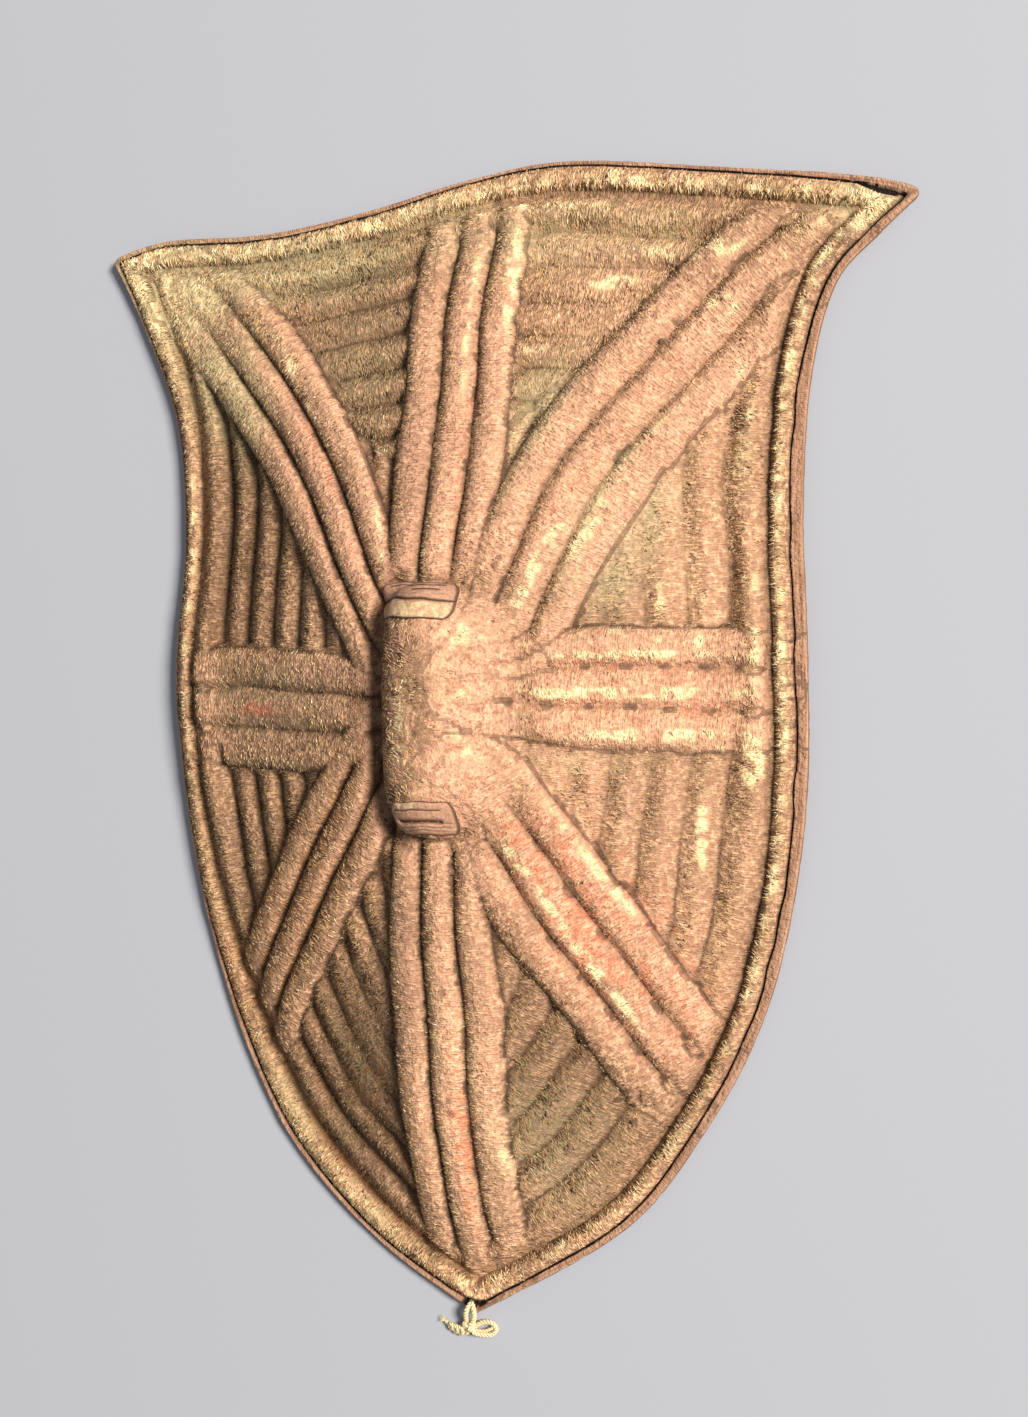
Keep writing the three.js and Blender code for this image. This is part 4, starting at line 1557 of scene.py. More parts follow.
    def build(self, material: Material) -> Piece:
        """Makes the hide as one closed mesh.

        Args:
            material: its finish.

        Returns:
            The piece.
        """
        loops = [self.rim_line()[:-1], *(cut.loop() for cut in self.cuts)]
        fine = (0.07, 0.2, 0.5, 0.85, 0.985, 1.3, 1.9, 2.06, 2.16, 2.3, 2.45, 2.6, 2.78, 2.96)
        border, _ = self.rings(self.edge_step, fine)
        crossing = self.rows(self.rib_step, (-3, -2, -1, 0, 1, 2, 3))
        groups = [
            (self.clear_of_cuts(border, 0.6), 0.35),
            (self.clear_of_cuts(crossing, 1.2), 1.3),
            (self.clear_of_cuts(self.filling(self.fill_step), 1.5), 1.9),
        ]
        top, top_faces = self.side(groups, loops)
        coarse, _ = self.rings(self.edge_step * 2, (0.5, 0.98, 1.9, 2.3, 2.6, 2.96))
        below = [
            (self.clear_of_cuts(coarse, 1.0), 1.2),
            (self.clear_of_cuts(self.rows(self.rib_step * 2, (-3, -1, 1, 3)), 2.0), 3.0),
            (self.clear_of_cuts(self.filling(self.under_step), 2.0), 4.0),
        ]
        under, under_faces = self.side(below, loops)
        return self.join(top, top_faces, under, under_faces, loops, material)

    def exact_edge(self, places: Array) -> Array:
        """Each place's distance from the edge, exact near it."""
        known = self.relief.ground.at(places[:, 0], places[:, 1])[:, 0].astype(float)
        near = known < self.relief.groove + 6
        known[near] = nearest_on(places[near], self.outline.line)[0]
        return known

    def join(
        self, top: Array, top_faces: Array, under: Array, under_faces: Array, loops: list[Array],
        material: Material,
    ) -> Piece:
        """Lifts both sides to their heights and walls the loops between them.

        Args:
            top: the hair side's places.
            top_faces: its triangles.
            under: the flesh side's places.
            under_faces: its triangles.
            loops: the rows of points that both start with.
            material: the finish.

        Returns:
            The piece.
        """
        p = self.relief.read(top[:, 0], top[:, 1], self.exact_edge(top))
        q = self.relief.read(under[:, 0], under[:, 1], self.exact_edge(under), fine=False)
        floor = self.plan.floor + self.floor_room
        below = np.maximum(q.height - self.relief.thick, floor)
        rim = len(loops[0])
        ledge = p.height[:rim]
        below[:rim] = np.maximum(ledge - self.relief.thick + self.edge_thin, floor)
        # The cut edge swells a little halfway down.
        outward = -inward_from(loops[0])
        swell = 0.5 + 0.3 * Hills(31, 7).at(np.arange(rim) * self.edge_step, np.zeros(rim))
        waist = np.column_stack([loops[0] + outward * swell[:, None], (ledge + below[:rim]) / 2])
        points = np.vstack([
            np.column_stack([top, p.height]), np.column_stack([under, below]), waist,
        ])
        count, start = len(top), len(top) + len(under)
        faces = [top_faces, under_faces[:, ::-1] + count]
        numbers = np.arange(rim)
        after = np.roll(numbers, -1)
        walls = []
        for upper, lower in ((0, start), (start, count)):
            a, b, c, d = upper + numbers, upper + after, lower + after, lower + numbers
            walls += [np.stack([a, b, c], 1), np.stack([a, c, d], 1)]
        first = rim
        for loop in loops[1:]:
            numbers = first + np.arange(len(loop))
            after = np.roll(numbers, -1)
            walls += [np.stack([numbers, numbers + count, after], 1),
                      np.stack([after, numbers + count, after + count], 1)]
            first += len(loop)
        faces.append(np.vstack(walls))
        triangles = np.vstack(faces)
        piece = make_mesh("hide_with_hair_side", self.plan.place(points), triangles)
        self.store(piece, p, q, rim)
        self.lay_flat(piece, points, triangles, [len(f) for f in faces])
        dress(piece, material, Slot.HIDE)
        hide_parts("hide_shell")
        return piece

    def store(self, piece: Piece, p: Places, q: Places, rim: int) -> None:
        """Stores the finishes' shares and the lie of the hair on the piece's points.

        Args:
            piece: the hide.
            p: the hair side's places.
            q: the flesh side's places.
            rim: how many points go round the cut edge.
        """
        rest = len(q.x) + rim
        for name, values in self.wear.masks(p).items():
            tail = np.zeros(rest)
            if name == "hem":
                tail[len(q.x):] = 1
            give(piece, name, np.r_[values, tail])
        give(piece, "under", np.r_[np.zeros(len(p.x)), np.ones(len(q.x)), np.zeros(rim)])
        pitch = np.array([band.pitch for band in BANDS] + [self.relief.panel_pitch])[p.owner]
        nap = np.column_stack([p.phase * pitch, p.along, np.zeros(len(p.x))])
        give(piece, "nap", np.vstack([nap, np.zeros((rest, 3))]), "FLOAT_VECTOR")
        rim_at = np.column_stack([p.rim, p.edge, np.zeros(len(p.x))])
        under_at = np.column_stack([q.rim, q.edge, np.zeros(len(q.x))])
        waist_at = np.column_stack([p.rim[:rim], np.full(rim, -3.0), np.zeros(rim)])
        give(piece, "rim", np.vstack([rim_at, under_at, waist_at]), "FLOAT_VECTOR")

    @staticmethod
    def lay_flat(
        piece: Piece, points: Array, triangles: Array, counts: list[int]
    ) -> None:
        """Lays the hair side and the flesh side out side by side, with the cut edge as a strip.

        Args:
            piece: the hide.
            points: its places on the plan, with their heights.
            triangles: its faces.
            counts: how many faces the hair side has, and then the flesh side.
        """
        low, high = points.min(0), points.max(0)
        span = max(2 * (high[0] - low[0]), high[1] - low[1]) * 1.04
        corners = points[triangles]
        flat = np.empty((len(triangles), 3, 2))
        hair, flesh = counts[0], counts[0] + counts[1]
        flat[:, :, 0] = (corners[:, :, 0] - low[0]) / span
        flat[:, :, 1] = (corners[:, :, 1] - low[1]) / span
        flat[hair:flesh, :, 0] = 0.995 - flat[hair:flesh, :, 0]
        strip = corners[flesh:]
        turn = np.arctan2(strip[:, :, 1], strip[:, :, 0]) / (2 * math.pi) + 0.5
        wrapped = (turn.max(1) - turn.min(1)) > 0.5
        turn[wrapped] = np.where(turn[wrapped] < 0.5, turn[wrapped] + 1, turn[wrapped])
        flat[flesh:, :, 0] = turn * 0.9 + 0.005
        flat[flesh:, :, 1] = 0.8 + 0.15 * (strip[:, :, 2] - low[2]) / (high[2] - low[2])
        set_bake_map(piece, flat.reshape(-1, 2))


QUARTERS = ("hair_lower_left", "hair_lower_right", "hair_upper_left", "hair_upper_right")
SLIVER = np.array([(0, 1, 2), (1, 3, 2), (0, 2, 3), (0, 3, 1)])  # a tuft's faces


@dataclass
class HairCoat:
    """Tufts of short hair that lie across the ribs, each a closed sliver."""

    plan: Plan
    relief: Relief
    wear: Wear
    cuts: tuple[Cut, ...]
    seed: int = 7
    step: float = 1.75
    length: float = 4.6
    width: float = 0.95
    rooted: float = 0.35  # how deep under the hair side a tuft starts
    steepest: float = 2.5  # slopes are taken as no steeper
    split_x: float = 10.0  # where the coat's quarters meet
    split_y: float = 60.0
    colours: dict[str, tuple[str, ...]] = field(default_factory=lambda: {
        "dun": ("9A7252", "B48E69", "7D573B", "C29C72"),
        "straw": ("D2B07C", "C29A62", "DBBE8E"),
        "dark": ("4E3724", "5E422C", "3C2A1B"),
        "ochre_and_light": ("C9A087", "BC9177", "D2AD92"),
        "red": ("C98468", "BC7456"),
        "worn": ("EFD9AC", "E2C591", "F5E4C0"),
        "olive": ("B3A276", "C2B388", "968660"),
        "rust_and_shade": ("AC7A46", "93643A", "BC8A54"),
    })

    def spots(self, random: np.random.Generator) -> Array:
        """Finds where tufts may root.

        Args:
            random: the source of chance.

        Returns:
            The places, clear of the hem, the cuts and the dent round the slit.
        """
        grid = self.relief.ground
        places = honeycomb(grid.low, grid.high, self.step)
        places += random.uniform(-0.45, 0.45, places.shape) * self.step
        known = grid.at(places[:, 0], places[:, 1])
        places = places[known[:, 0] > known[:, 2] + known[:, 3] + 1.5]
        for cut in self.cuts:
            places = places[~cut.holds(places, 3.0)]
        return places[self.relief.slit_share(places[:, 0], places[:, 1]) < 0.2]

    def choose(self, masks: dict[str, Array], shade: Array, random: np.random.Generator) -> Array:
        """Picks each tuft's colour by the finishes at its root.

        Args:
            masks: the finishes' shares.
            shade: how much a tuft leans out of the light.
            random: the source of chance.

        Returns:
            Linear colours, one row a tuft.
        """
        ochre_and_light = masks["ochre_and_light"]
        bright, dim = smooth(masks["clump"], 0.5, 0.78), smooth(1 - masks["clump"], 0.5, 0.78)
        # Dark tufts are picked more on the flanks away from the key light and where the hide is
        # painted dark: painted shade.
        weights = {
            "dun": 0.7 * (1 - 0.7 * ochre_and_light),
            "straw": (0.2 + 2.0 * bright) * masks["fur_and_shade"] * (1 - 0.5 * ochre_and_light),
            "dark": (0.15 + 1.3 * dim) * (0.3 + shade) * masks["fur_and_shade"] + 0.8 * masks["dark"],
            "ochre_and_light": 1.2 * ochre_and_light,
            "red": masks["red"],
            "worn": 3.0 * masks["worn"] + 0.03,
            "olive": 0.8 * masks["olive"],
            "rust_and_shade": (0.4 + bright) * masks["rust_and_shade"],
        }
        table = np.cumsum(np.stack([weights[name] for name in self.colours], 1), axis=1)
        draw = random.uniform(0, 1, len(table)) * table[:, -1]
        kind = (draw[:, None] > table).sum(1)
        picked = np.empty((len(table), 3))
        for number, codes in enumerate(self.colours.values()):
            mine = np.flatnonzero(kind == number)
            tones = np.array([srgb(code)[:3] for code in codes])
            picked[mine] = tones[random.integers(0, len(codes), len(mine))]
        # Each tuft is darkened like the hide under it, by soot and painted shade.
        picked *= (1 - 0.45 * masks["soot_and_shade"])[:, None]
        return picked * random.uniform(0.8, 1.2, (len(table), 1))

    def build(self, material: Material) -> None:
        """Makes the coat in four pieces, one for each quarter of the shield.

        Args:
            material: its finish.
        """
        random = np.random.default_rng(self.seed)
        places = self.spots(random)
        x, y = places[:, 0], places[:, 1]
        here = self.relief.read(x, y, fine=False)
        east = self.relief.read(x + 1, y, fine=False)
        north = self.relief.read(x, y + 1, fine=False)
        slope, way, rim_way = (
            np.stack([getattr(other, name) - getattr(here, name) for other in (east, north)], 1)
            for name in ("height", "phase", "edge")
        )
        slope = np.clip(slope, -self.steepest, self.steepest)
        masks = self.wear.masks(here)
        same = (east.owner == here.owner) & (north.owner == here.owner)
        border = here.edge < here.foot + 5
        way = np.where(border[:, None], rim_way, way)
        bad = (~same & ~border) | (np.linalg.norm(way, axis=1) < 1e-5)
        way[bad] = slope[bad] + 1e-4
        way = unit(way)
        downhill = np.sign(-(slope * way).sum(1) + random.normal(0, 0.12, len(x)))
        way *= np.where(downhill == 0, 1, downhill)[:, None]
        turn = random.normal(0, 0.35, len(x))
        way = np.stack([way[:, 0] * np.cos(turn) - way[:, 1] * np.sin(turn),
                        way[:, 0] * np.sin(turn) + way[:, 1] * np.cos(turn)], 1)
        shade = 1 - masks["lit"]
        thick = 0.1 + 0.8 * masks["fur_and_shade"]
        kept = random.uniform(0, 1, len(x)) < thick
        size = (0.62 + 0.4 * np.clip(thick, 0, 1)) * random.uniform(0.65, 1.3, len(x))
        colour = self.choose(masks, shade, random)
        self.lay(places[kept], here.height[kept], slope[kept], way[kept], size[kept], colour[kept],
                 random, material)

    def lay(
        self, root: Array, height: Array, slope: Array, way: Array, size: Array, colour: Array,
        random: np.random.Generator, material: Material,
    ) -> None:
        """Makes the slivers.

        Args:
            root: where each is rooted.
            height: how high the hair side is there.
            slope: its rise towards +X and +Y.
            way: the way that the tuft lies.
            size: its share of the full length.
            colour: its colour.
            random: the source of chance.
            material: the finish.
        """
        count = len(root)
        normal = unit(np.column_stack([-slope, np.ones(count)]))
        lie = unit(np.column_stack([way, (slope * way).sum(1)]))
        aside = np.cross(normal, lie)
        base = np.column_stack([root, height])
        long = (self.length * size)[:, None]
        wide = (self.width * random.uniform(0.7, 1.25, count))[:, None]
        stand = random.uniform(0.25, 1.0, count)[:, None] * (0.5 + 0.3 * size[:, None])
        corners = np.stack([
            base + aside * wide / 2 - normal * self.rooted,
            base - aside * wide / 2 - normal * self.rooted,
            base + normal * 0.55 * wide + lie * 0.25 * long,
            base + lie * long + normal * stand,
        ], 1)
        shades = colour[:, None] * np.array([0.62, 0.62, 0.95, 1.12])[None, :, None]
        quarter = (root[:, 0] > self.split_x).astype(int) + 2 * (root[:, 1] > self.split_y)
        for number, name in enumerate(QUARTERS):
            mine = quarter == number
            tufts = int(mine.sum())
            faces = SLIVER[None] + 4 * np.arange(tufts)[:, None, None]
            places = self.plan.place(corners[mine].reshape(-1, 3))
            piece = make_mesh(name, places, faces.reshape(-1, 3))
            tones = np.concatenate([shades[mine], np.ones((tufts, 4, 1))], 2)
            give(piece, "coat", tones.reshape(-1, 4), "FLOAT_COLOR")
            self.lay_flat(piece, tufts)
            dress(piece, material, Slot.HIDE, smooth_faces=False)

    @staticmethod
    def lay_flat(piece: Piece, tufts: int) -> None:
        """Gives each tuft a small square of its own, which all its faces share."""
        side = math.ceil(math.sqrt(tufts))
        at = np.stack([np.arange(tufts) % side, np.arange(tufts) // side], 1)
        corner = np.array([(0.15, 0.15), (0.85, 0.15), (0.5, 0.6), (0.5, 0.9)])
        flat = (at[:, None, None] + corner[SLIVER][None]) / side
        set_bake_map(piece, flat.reshape(-1, 2))


@dataclass(frozen=True)
class Fold:
    """A groove across a tab."""

    at: float  # across the tab, -1 at its lower side and 1 at its upper
    deep: float
    wide: float
    start: float = -1.2  # along the tab, -1 at its left end and 1 at its right
    end: float = 1.2
    bow: float = 0.0
    # how dark its groove is painted: painted shade
    painted_shade: float = 1.0


@dataclass(frozen=True)
class Tab:
    """One end of the strap, folded over on the hair side."""

    x: float
    y: float
    half_width: float
    half_length: float
    thick: float
    folds: tuple[Fold, ...]
    pale_from: float  # the part of it between these is rubbed pale
    pale_to: float
    pale_end: float = 1.2  # how far along it the pale part runs
    stain_x: float = 9.0


@dataclass
class GripStrap:
    """The folded strap: two tabs in front, a leg through each slot and the bar behind."""

    plan: Plan
    relief: Relief
    width: float = 60.0
    leg_width: float = 46.0  # it is gathered in where it passes through the hide
    thick: float = 5.0
    bar: float = 105.0  # the height of its underside
    slot_top: float = 124.0
    slot_bottom: float = -54.0
    bend: float = 7.0
    leg_short: float = 7.0  # how far under the hair side a leg ends
    slot_room: float = 0.8
    stain_v: float = -0.55  # where a stain is across its tab, and its sizes as shares of the tab
    stain_wide: float = 0.13
    stain_high: float = 0.35
    stain_much: float = 0.75
    tab_grid: tuple[int, int] = (110, 52)
    tabs: tuple[Tab, ...] = (
        Tab(-22.5, 125, 36, 15.5, 6.5, (
            Fold(-0.02, 3.4, 0.09, bow=0.06), Fold(0.55, 1.6, 0.07, -0.1, 0.75, 0.05),
            Fold(0.8, 0.7, 0.05, -0.9, 0.9), Fold(0.35, 0.5, 0.05, -0.9, 0.3, painted_shade=0.3),
        ), -1.0, -0.05, stain_x=-0.6),
        Tab(-15, -54, 27, 14.5, 6.0, (
            Fold(-0.02, 5.0, 0.13, -0.85, 0.7, -0.2), Fold(0.5, 1.4, 0.06, -0.95, 0.75),
            Fold(-0.35, 1.0, 0.05, -0.8, 0.95, 0.1, 0.5),
            Fold(-0.6, 0.9, 0.05, -0.9, 0.9, 0.1, 0.5), Fold(-0.8, 0.7, 0.05, -0.8, 0.8, 0.1, 0.4),
        ), 0.5, 1.0, pale_end=-0.05),
    )

    def tab(self, tab: Tab) -> Shell:
        """Makes a tab as a closed shell.

        Args:
            tab: its sizes and folds.

        Returns:
            Its points in plan millimetres, its faces and the shares of its finishes.
        """
        columns, rows = self.tab_grid
        u, v = np.meshgrid(np.linspace(-1, 1, columns), np.linspace(-1, 1, rows))
        u, v = u.ravel(), v.ravel()
        crinkle, wave = Hills(41 + int(abs(tab.y)), 0.35), Hills(42, 0.5)
        corner = 1 - 0.24 * (1 - circle_part(np.clip((np.abs(v) - 0.35) / 0.65, 0, 1)))
        x = tab.x + tab.half_width * u * corner
        y = tab.y + tab.half_length * (v + 0.06 * wave.at(u + 9, v * 0 + tab.y))
        y -= 1.8 * u * u
        surface = self.relief.read(x, y, fine=False).height
        rounded = circle_part(np.abs(v) ** 3.5) ** 0.55 * circle_part(np.abs(u) ** 9) ** 0.6
        top = tab.thick * rounded - 0.6
        dark, pink = np.zeros(len(u)), np.zeros(len(u))
        for fold in tab.folds:
            line = fold.at + fold.bow * (1 - u * u) + 0.035 * wave.at(u * 2 + fold.at * 7, u * 0)
            window = smooth(u, fold.start, fold.start + 0.15)
            window = window * smooth(-u, -fold.end, 0.15 - fold.end)
            much = bell(v, line, fold.wide) * window
            top -= fold.deep * much * rounded
            # Each fold's groove is painted dark: painted shade.
            dark = np.maximum(dark, fold.painted_shade * smooth(much, 0.45, 0.95))
        top += 0.35 * crinkle.at(u * 3, v) * rounded
        pale = smooth(v, tab.pale_from - 0.05, tab.pale_from + 0.05)
        pale = pale * smooth(-v, -tab.pale_to - 0.05, 0.05 - tab.pale_to)
        pale = pale * smooth(-u, -tab.pale_end - 0.05, 0.1 - tab.pale_end)
        pale = np.maximum(pale, 0.45 * smooth(-v, 0.3, 0.5))
        across, along = (v - self.stain_v) / self.stain_high, (u - tab.stain_x) / self.stain_wide
        stain = self.stain_much * np.exp(-(along**2 + across**2))
        # The tab's long sides and its right end are painted dark: painted shadow where the tab's
        # edge meets the hide.
        edge = np.maximum(smooth(np.abs(v), 0.88, 0.97), smooth(u, 0.94, 0.985))
        upper = np.column_stack([x, y, surface + top])
        lower = np.column_stack([x, y, surface - 2.0])
        count = rows * columns
        grid = np.arange(count).reshape(rows, columns)
        a, b = grid[:-1, :-1].ravel(), grid[:-1, 1:].ravel()
        c, d = grid[1:, 1:].ravel(), grid[1:, :-1].ravel()
        loop = np.r_[grid[0, :-1], grid[:-1, -1], grid[-1, :0:-1], grid[:0:-1, 0]]
        after = np.roll(loop, -1)
        faces = [
            np.stack([a, b, c, d], 1), np.stack([d, c, b, a], 1) + count,
            np.stack([loop, loop + count, after + count, after], 1),
        ]
        shares = {"pale": pale, "stain": stain, "dark": np.maximum(dark, 0.85 * edge)}
        both = {name: np.r_[values, values * 0] for name, values in shares.items()}
        return np.vstack([upper, lower]), np.vstack(faces), both

    def ribbon(self) -> Shell:
        """Makes the legs and the bar as one bent strip with rounded sides.

        Returns:
            Its points in plan millimetres, its faces and the shares of its finishes.
        """
        middle_z = self.bar + self.thick / 2
        ends_y = np.array([self.slot_top, self.slot_bottom])
        middle_x = np.full(2, self.relief.boss_x)
        tops = self.relief.read(middle_x, ends_y, fine=False).height.tolist()
        r, turn, legs = self.bend, np.linspace(0, math.pi / 2, 7), []
        for y, side, top in zip(ends_y, (1, -1), tops):
            upright = [top - self.leg_short, *np.linspace(top - 9, middle_z + r + 3, 5)]
            bend = [y - side * r * (1 - np.cos(turn)), middle_z + r * (1 - np.sin(turn))]
            legs.append(np.vstack([[(y, z) for z in upright], np.column_stack(bend)]))
        along = np.linspace(self.slot_top - r - 4, self.slot_bottom + r + 4, 40)
        path = np.vstack([legs[0], [(y, middle_z) for y in along], legs[1][::-1]])
        way = unit(np.gradient(path, axis=0))
        side = np.column_stack([-way[:, 1], way[:, 0]])
        half, round_ = self.width / 2, self.thick / 2
        arc = np.linspace(-math.pi / 2, math.pi / 2, 7)
        across = np.linspace(-half + round_, half - round_, 16)
        corner, rise = half - round_ + round_ * np.cos(arc), round_ * np.sin(arc)
        profile = np.vstack([
            [(x, -round_) for x in across], np.column_stack([corner, rise])[1:-1],
            [(x, round_) for x in across[::-1]], np.column_stack([-corner, rise])[-2:0:-1],
        ])
        count = len(profile)
        x = self.relief.boss_x + np.tile(profile[:, 0], (len(path), 1))
        yz = path[:, None] + side[:, None] * profile[None, :, 1, None]
        points = np.concatenate([x[..., None], yz], 2).reshape(-1, 3)
        gathered = smooth(points[:, 2], middle_z + 1, middle_z + 9)
        gathered = gathered * (1 - self.leg_width / self.width)
        points[:, 0] -= (points[:, 0] - self.relief.boss_x) * gathered
        # The boss falls away at the sides, so the legs are cut slanting to stay under the tabs.
        leg_top = max(tops) - self.leg_short
        skin = self.relief.read(points[:, 0], points[:, 1], fine=False).height
        share = np.clip((points[:, 2] - middle_z) / (leg_top - middle_z), 0, 1)
        points[:, 2] -= np.maximum(0, leg_top + 3 - skin) * share
        ring = np.arange(count)
        faces = []
        for k in range(len(path) - 1):
            a, b = k * count + ring, k * count + np.roll(ring, -1)
            faces.append(np.stack([a, a + count, b + count, b], 1))
        ends = np.vstack([points, points[:count].mean(0), points[-count:].mean(0)])
        first, last = len(points), len(points) + 1
        after, final = np.roll(ring, -1), (len(path) - 1) * count
        for middle, near, far in ((first, ring, after), (last, after + final, ring + final)):
            hub = np.full(count, middle)
            faces.append(np.stack([near, far, hub, hub], 1))
        pale = 0.25 + 0.4 * Hills(44, 14).at(ends[:, 0], ends[:, 1])
        rim = smooth(np.abs(ends[:, 0] - self.relief.boss_x), half - 3, half)
        clear = np.zeros(len(pale))
        shares = {"pale": np.maximum(pale, 0.8 * rim), "stain": clear, "dark": clear}
        return ends, np.vstack(faces), shares

    def build(self, material: Material) -> Piece:
        """Makes the whole strap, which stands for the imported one.

        Args:
            material: its finish.

        Returns:
            The piece.
        """
        shells = [self.tab(tab) for tab in self.tabs] + [self.ribbon()]
        points, triangles, start = [], [], 0
        for shell, faces, _ in shells:
            points.append(shell)
            halves = np.vstack([faces[:, [0, 1, 2]], faces[:, [0, 2, 3]]])
            different = (halves[:, 0] != halves[:, 1]) & (halves[:, 1] != halves[:, 2])
            different &= halves[:, 0] != halves[:, 2]
            triangles.append(halves[different] + start)
            start += len(shell)
        places = self.plan.place(np.vstack(points))
        piece = make_mesh("folded_grip_strap", places, np.vstack(triangles))
        for name in ("pale", "stain", "dark"):
            give(piece, name, np.concatenate([shares[name] for _, _, shares in shells]))
        dress(piece, material, Slot.STRAP)
        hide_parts("grip_strap")
        return piece


@dataclass
class TieCord:
    """The short cotton cord: out of the slit, over the hem, looped, knotted and frayed."""

    plan: Plan
    diameter: float = 4.9
    strands: int = 3
    lay: float = 9.0  # a strand goes once round in this length
    sides: int = 24
    step: float = 0.7
    route: tuple[Spot, ...] = (
        (-28, -509, 1), (-28.5, -502, 6.5), (-26.5, -495, 9.6), (-23, -489, 7.0),
        (-20, -494.5, 9.6), (-20.5, -501, 7.6), (-23, -509, 5.2), (-22, -515.5, 3.7),
        (-13, -517.5, 1.4), (-6, -516.5, -0.2), (-2.5, -511.8, -0.2), (-6.5, -507, -0.2),
        (-15, -507, -0.1), (-24, -512, -0.4), (-33, -516, -0.4), (-42, -514, -0.4),
        (-50, -509, -0.4),
    )
    exit_at: Spot = (-23, -490, 10.3)
    second_strand: tuple[Spot, ...] = (
        (-27, -511, 3.2), (-20, -513.4, 3.6), (-12, -513.6, 3.0), (-5, -510.8, 2.4),
    )
    # Where each knot of the tail is, and its size.
    tail_knots: tuple[Spot, ...] = (
        (-30.5, -514.2, 3.3), (-35, -515.2, 3.2), (-39.5, -514.4, 2.9), (-44, -512.6, 2.5),
    )
    frays: int = 14

    def tube(self, line: Array, radius: Array) -> Tube:
        """Makes a closed tube of twisted strands.

        Args:
            line: the middle of the cord.
            radius: how thick it is at each point of the line.

        Returns:
            Its points, its faces and how far out of the lay each point stands.
        """
        way = unit(np.gradient(line, axis=0))
        up = np.array([0.0, 0.0, 1.0])
        frames = []
        across = np.cross(way[0], up)
        across /= np.linalg.norm(across)
        for direction in way:
            across = across - direction * (across @ direction)
            across /= np.linalg.norm(across)
            frames.append((across, np.cross(direction, across)))
        first = np.array([f[0] for f in frames])
        second = np.array([f[1] for f in frames])
        turn = np.linspace(0, 2 * math.pi, self.sides, endpoint=False)
        twist = lengths_along(line) * 2 * math.pi / self.lay
        lobes = np.abs(np.cos(self.strands / 2 * (turn[None] - twist[:, None])))
        reach = radius[:, None] * (0.74 + 0.28 * lobes**0.7)
        ring = (first[:, None] * np.cos(turn)[None, :, None]
                + second[:, None] * np.sin(turn)[None, :, None]) * reach[..., None]
        points = (line[:, None] + ring).reshape(-1, 3)
        count, number = self.sides, np.arange(self.sides)
        faces = []
        for k in range(len(line) - 1):
            a, b = k * count + number, k * count + np.roll(number, -1)
            faces += [np.stack([a, b, b + count], 1), np.stack([a, b + count, a + count], 1)]
        ends = np.vstack([
            line[0] - way[0] * radius[0] * 0.4, line[-1] + way[-1] * radius[-1] * 0.4,
        ])
        start, last = len(points), (len(line) - 1) * count
        after = np.roll(number, -1)
        faces.append(np.stack([after, number, np.full(count, start)], 1))
        faces.append(np.stack([last + number, last + after, np.full(count, start + 1)], 1))
        return np.vstack([points, ends]), np.vstack(faces), np.r_[lobes.ravel(), 0.5, 0.5]

    def piece(
        self, name: str, parts: list[Tube], material: Material
    ) -> Piece:
        """Joins tubes into one dressed piece.

        Args:
            name: the piece's name.
            parts: its tubes.
            material: its finish.

        Returns:
            The piece.
        """
        starts = np.cumsum([0] + [len(p) for p, _, _ in parts[:-1]])
        points = np.vstack([p for p, _, _ in parts])
        faces = np.vstack([f + s for (_, f, _), s in zip(parts, starts)])
        made = make_mesh(name, self.plan.place(points), faces)
        give(made, "lay", np.concatenate([lobes for _, _, lobes in parts]))
        dress(made, material, Slot.CORD)
        return made

    def build(self, material: Material) -> Piece:
        """Args:
            material: the finish of both.

        Returns:
            The cord.
        """
        dense = catmull_rom(list(self.route), 24)
        line, _ = evenly(dense, self.step)
        line = np.vstack([line, dense[-1:]])
        along = lengths_along(line)
        radius = np.full(len(line), self.diameter / 2 * 0.98)
        radius *= 1 + 0.06 * Hills(51, 6).at(along, along * 0)
        radius *= 1 - 0.35 * smooth(along, along[-1] - 6, along[-1])
        cord = self.piece("tie_cord_twisted", [self.tube(line, radius)], material)
        knot = self.knot(material)
        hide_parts("tie_cord")
        path = self.plan.place(line)
        self.plan.place(np.array(self.exit_at)).tolist()
        return cord

    def knot(self, material: Material) -> Piece:
        """Makes the knot that binds the two strands, the tail's knots and the frayed tip.

        Args:
            material: its finish.

        Returns:
            The piece.
        """
        turn = np.linspace(0, 2 * math.pi, 70)
        x = -26.0 + 3.6 * (np.sin(turn) + 1.1 * np.sin(2 * turn)) / 1.6
        y = -509.5 + 3.0 * (np.cos(turn) - 1.1 * np.cos(2 * turn)) / 1.6
        z = 4.4 + 2.1 * -np.sin(3 * turn)
        lump = np.column_stack([x, y, z])
        parts = [self.tube(lump, np.full(len(lump), 2.0))]
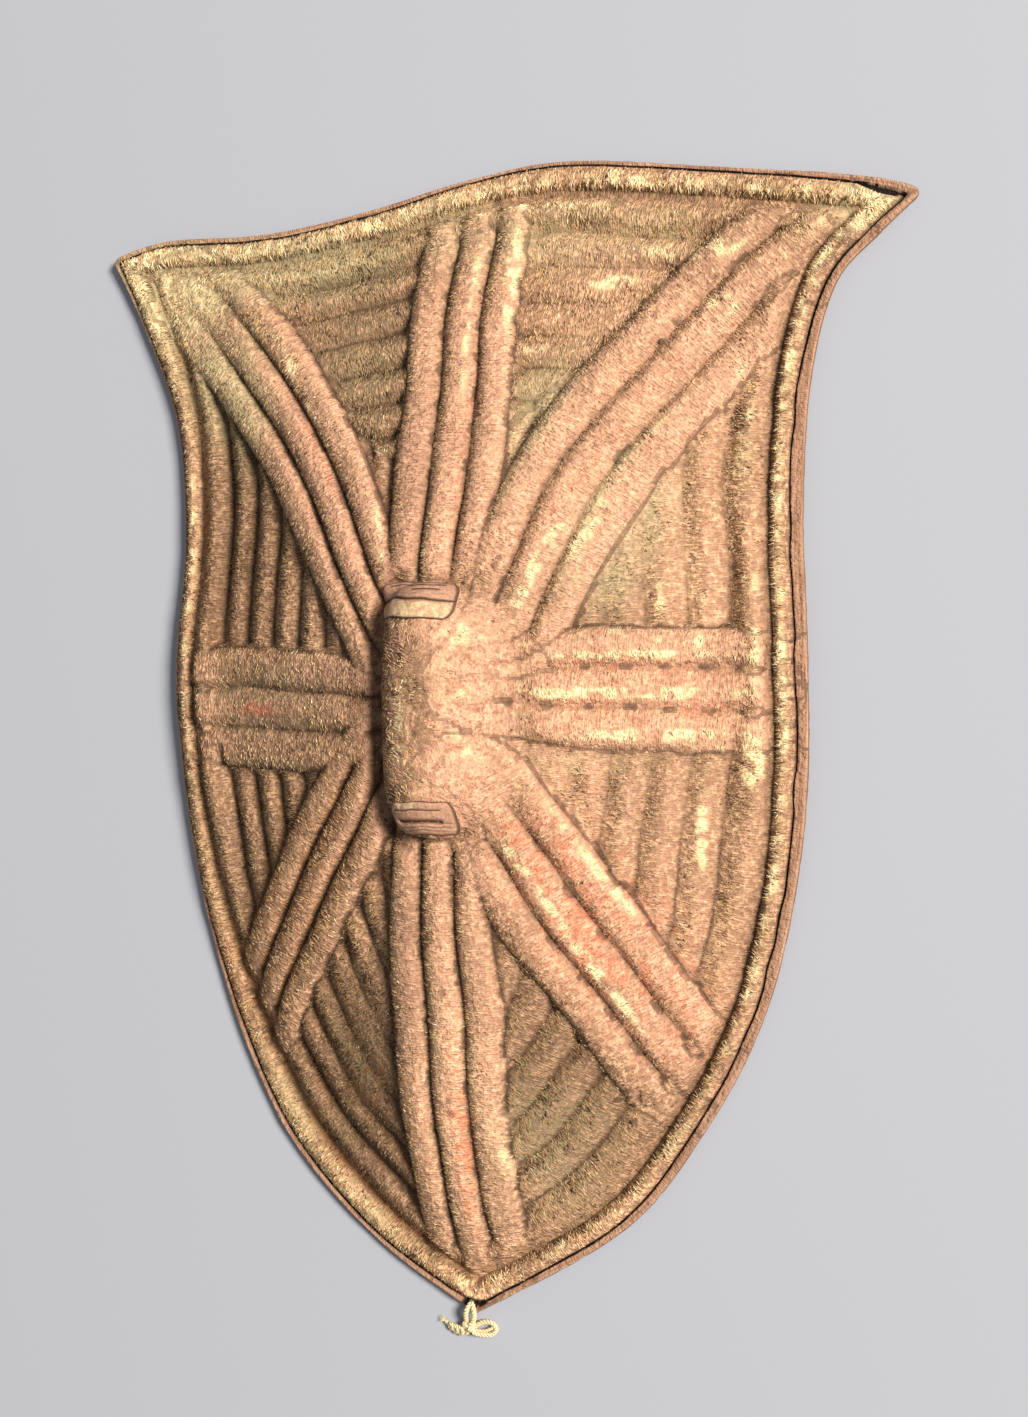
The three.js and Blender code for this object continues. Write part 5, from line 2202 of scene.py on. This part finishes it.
        # The second strand of the loop, then the knots tied one after another along the tail.
        second = catmull_rom(list(self.second_strand), 12)
        parts.append(self.tube(second, np.full(len(second), 1.6)))
        for x, y, size in self.tail_knots:
            ring = np.column_stack([x + 0.7 * size * np.sin(turn), y + size * np.cos(turn),
                                    1.6 + 0.6 * size * np.sin(turn + 0.8)])
            parts.append(self.tube(ring, np.full(len(ring), 0.68 * size)))
        random = np.random.default_rng(5)
        tip = np.array(self.route[-1])
        for _ in range(self.frays):
            reach = random.uniform(3.5, 7.5)
            spread = random.normal(0, 0.45)
            heading = np.array([-math.cos(0.5 + spread), math.sin(0.5 + spread), 0])
            share = np.linspace(0, 1, 8)[:, None]
            lift = random.uniform(-0.8, 1.4)
            strand = tip + heading * reach * share + np.array([0, 0, lift]) * share**2
            parts.append(self.tube(strand, np.linspace(0.42, 0.12, 8)))
        return self.piece("tie_cord_knot", parts, material)


# ---- The studio ----


@dataclass
class Studio:
    """The camera, the pale floor and the soft light."""

    target: Spot = (0.0143, 0.0294, 0.0)
    distance: float = 1.848
    tilt: float = 18.38  # from straight down, towards +X
    roll: float = -0.26
    lens: float = 53.35
    key_azimuth: float = 15.0  # from +X towards +Y
    key_height: float = 43.0
    key_distance: float = 14.0
    key_size: float = 4.4
    key_power: float = 4100.0
    key_colour: str = "FFF8F0"
    sky: str = "E4E6EA"
    sky_strength: float = 0.39
    floor_colour: str = "A1A4AB"
    floor_size: float = 9.0

    def camera(self) -> None:
        """Sets the camera over the shield, a little to its right."""
        tilt, roll = math.radians(self.tilt), math.radians(self.roll)
        back = Vector((math.sin(tilt), 0, math.cos(tilt)))
        up = Vector((0, 1, 0))
        right = up.cross(back)
        turned_right = right * math.cos(roll) + up * math.sin(roll)
        turned_up = -right * math.sin(roll) + up * math.cos(roll)
        data = bpy.data.cameras.new("camera")
        data.lens = self.lens
        camera = bpy.data.objects.new("camera", data)
        axes = Matrix((turned_right, turned_up, back)).transposed().to_4x4()
        camera.matrix_world = Matrix.Translation(Vector(self.target) + back * self.distance) @ axes
        bpy.context.scene.collection.objects.link(camera)
        bpy.context.scene.camera = camera

    def floor(self) -> None:
        """Lays the floor."""
        bpy.ops.mesh.primitive_plane_add(size=self.floor_size)
        floor = bpy.context.object
        floor.name = "floor"
        tree = Tree("pale_floor")
        shader = tree.add("BsdfPrincipled", {
            "Base Color": srgb(self.floor_colour), "Roughness": 0.95, "Specular IOR Level": 0.1,
        })
        floor.data.materials.append(tree.surface(shader))

    def lights(self) -> None:
        """Hangs one soft lamp and gives the room a pale sky."""
        turn, height = math.radians(self.key_azimuth), math.radians(self.key_height)
        away = Vector((math.cos(turn) * math.cos(height), math.sin(turn) * math.cos(height),
                       math.sin(height)))
        data = bpy.data.lights.new("key", "AREA")
        data.shape, data.size, data.energy = "DISK", self.key_size, self.key_power
        data.color = srgb(self.key_colour)[:3]
        key = bpy.data.objects.new("key", data)
        key.location = away * self.key_distance
        key.rotation_euler = away.to_track_quat("Z", "Y").to_euler()
        bpy.context.scene.collection.objects.link(key)
        world = bpy.data.worlds.new("room")
        world.use_nodes = True
        background = world.node_tree.nodes["Background"]
        background.inputs["Color"].default_value = srgb(self.sky)
        background.inputs["Strength"].default_value = self.sky_strength
        bpy.context.scene.world = world
        bpy.context.scene.view_settings.view_transform = "Standard"

    def build(self) -> None:
        """Sets up the whole studio."""
        self.camera()
        self.floor()
        self.lights()


def main() -> None:
    """Builds the studio and the shield's pieces in order."""
    logging.basicConfig(level=logging.INFO, format="%(name)s: %(message)s")
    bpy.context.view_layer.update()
    outline = Outline()
    relief = Relief(Ground(outline))
    wear = Wear(relief)
    plan = Plan.from_frame(outline, GripStrap.bar)
    Studio().build()
    TieCord(plan).build(TwistedCotton().build())
    strap = GripStrap(plan, relief)
    slot = (strap.leg_width + strap.slot_room, strap.thick + strap.slot_room)
    slots = (Cut(relief.boss_x, y, *slot) for y in (strap.slot_top, strap.slot_bottom))
    cuts = (*slots, Cut(relief.slit_x, relief.slit_y, relief.slit_width, relief.slit_length))
    Hide(plan, outline, relief, wear, cuts).build(HairOnRawhide().build())
    HairCoat(plan, relief, wear, cuts).build(HideHair().build())
    strap.build(FoldedRawhide().build())


if __name__ == "__main__":
    main()
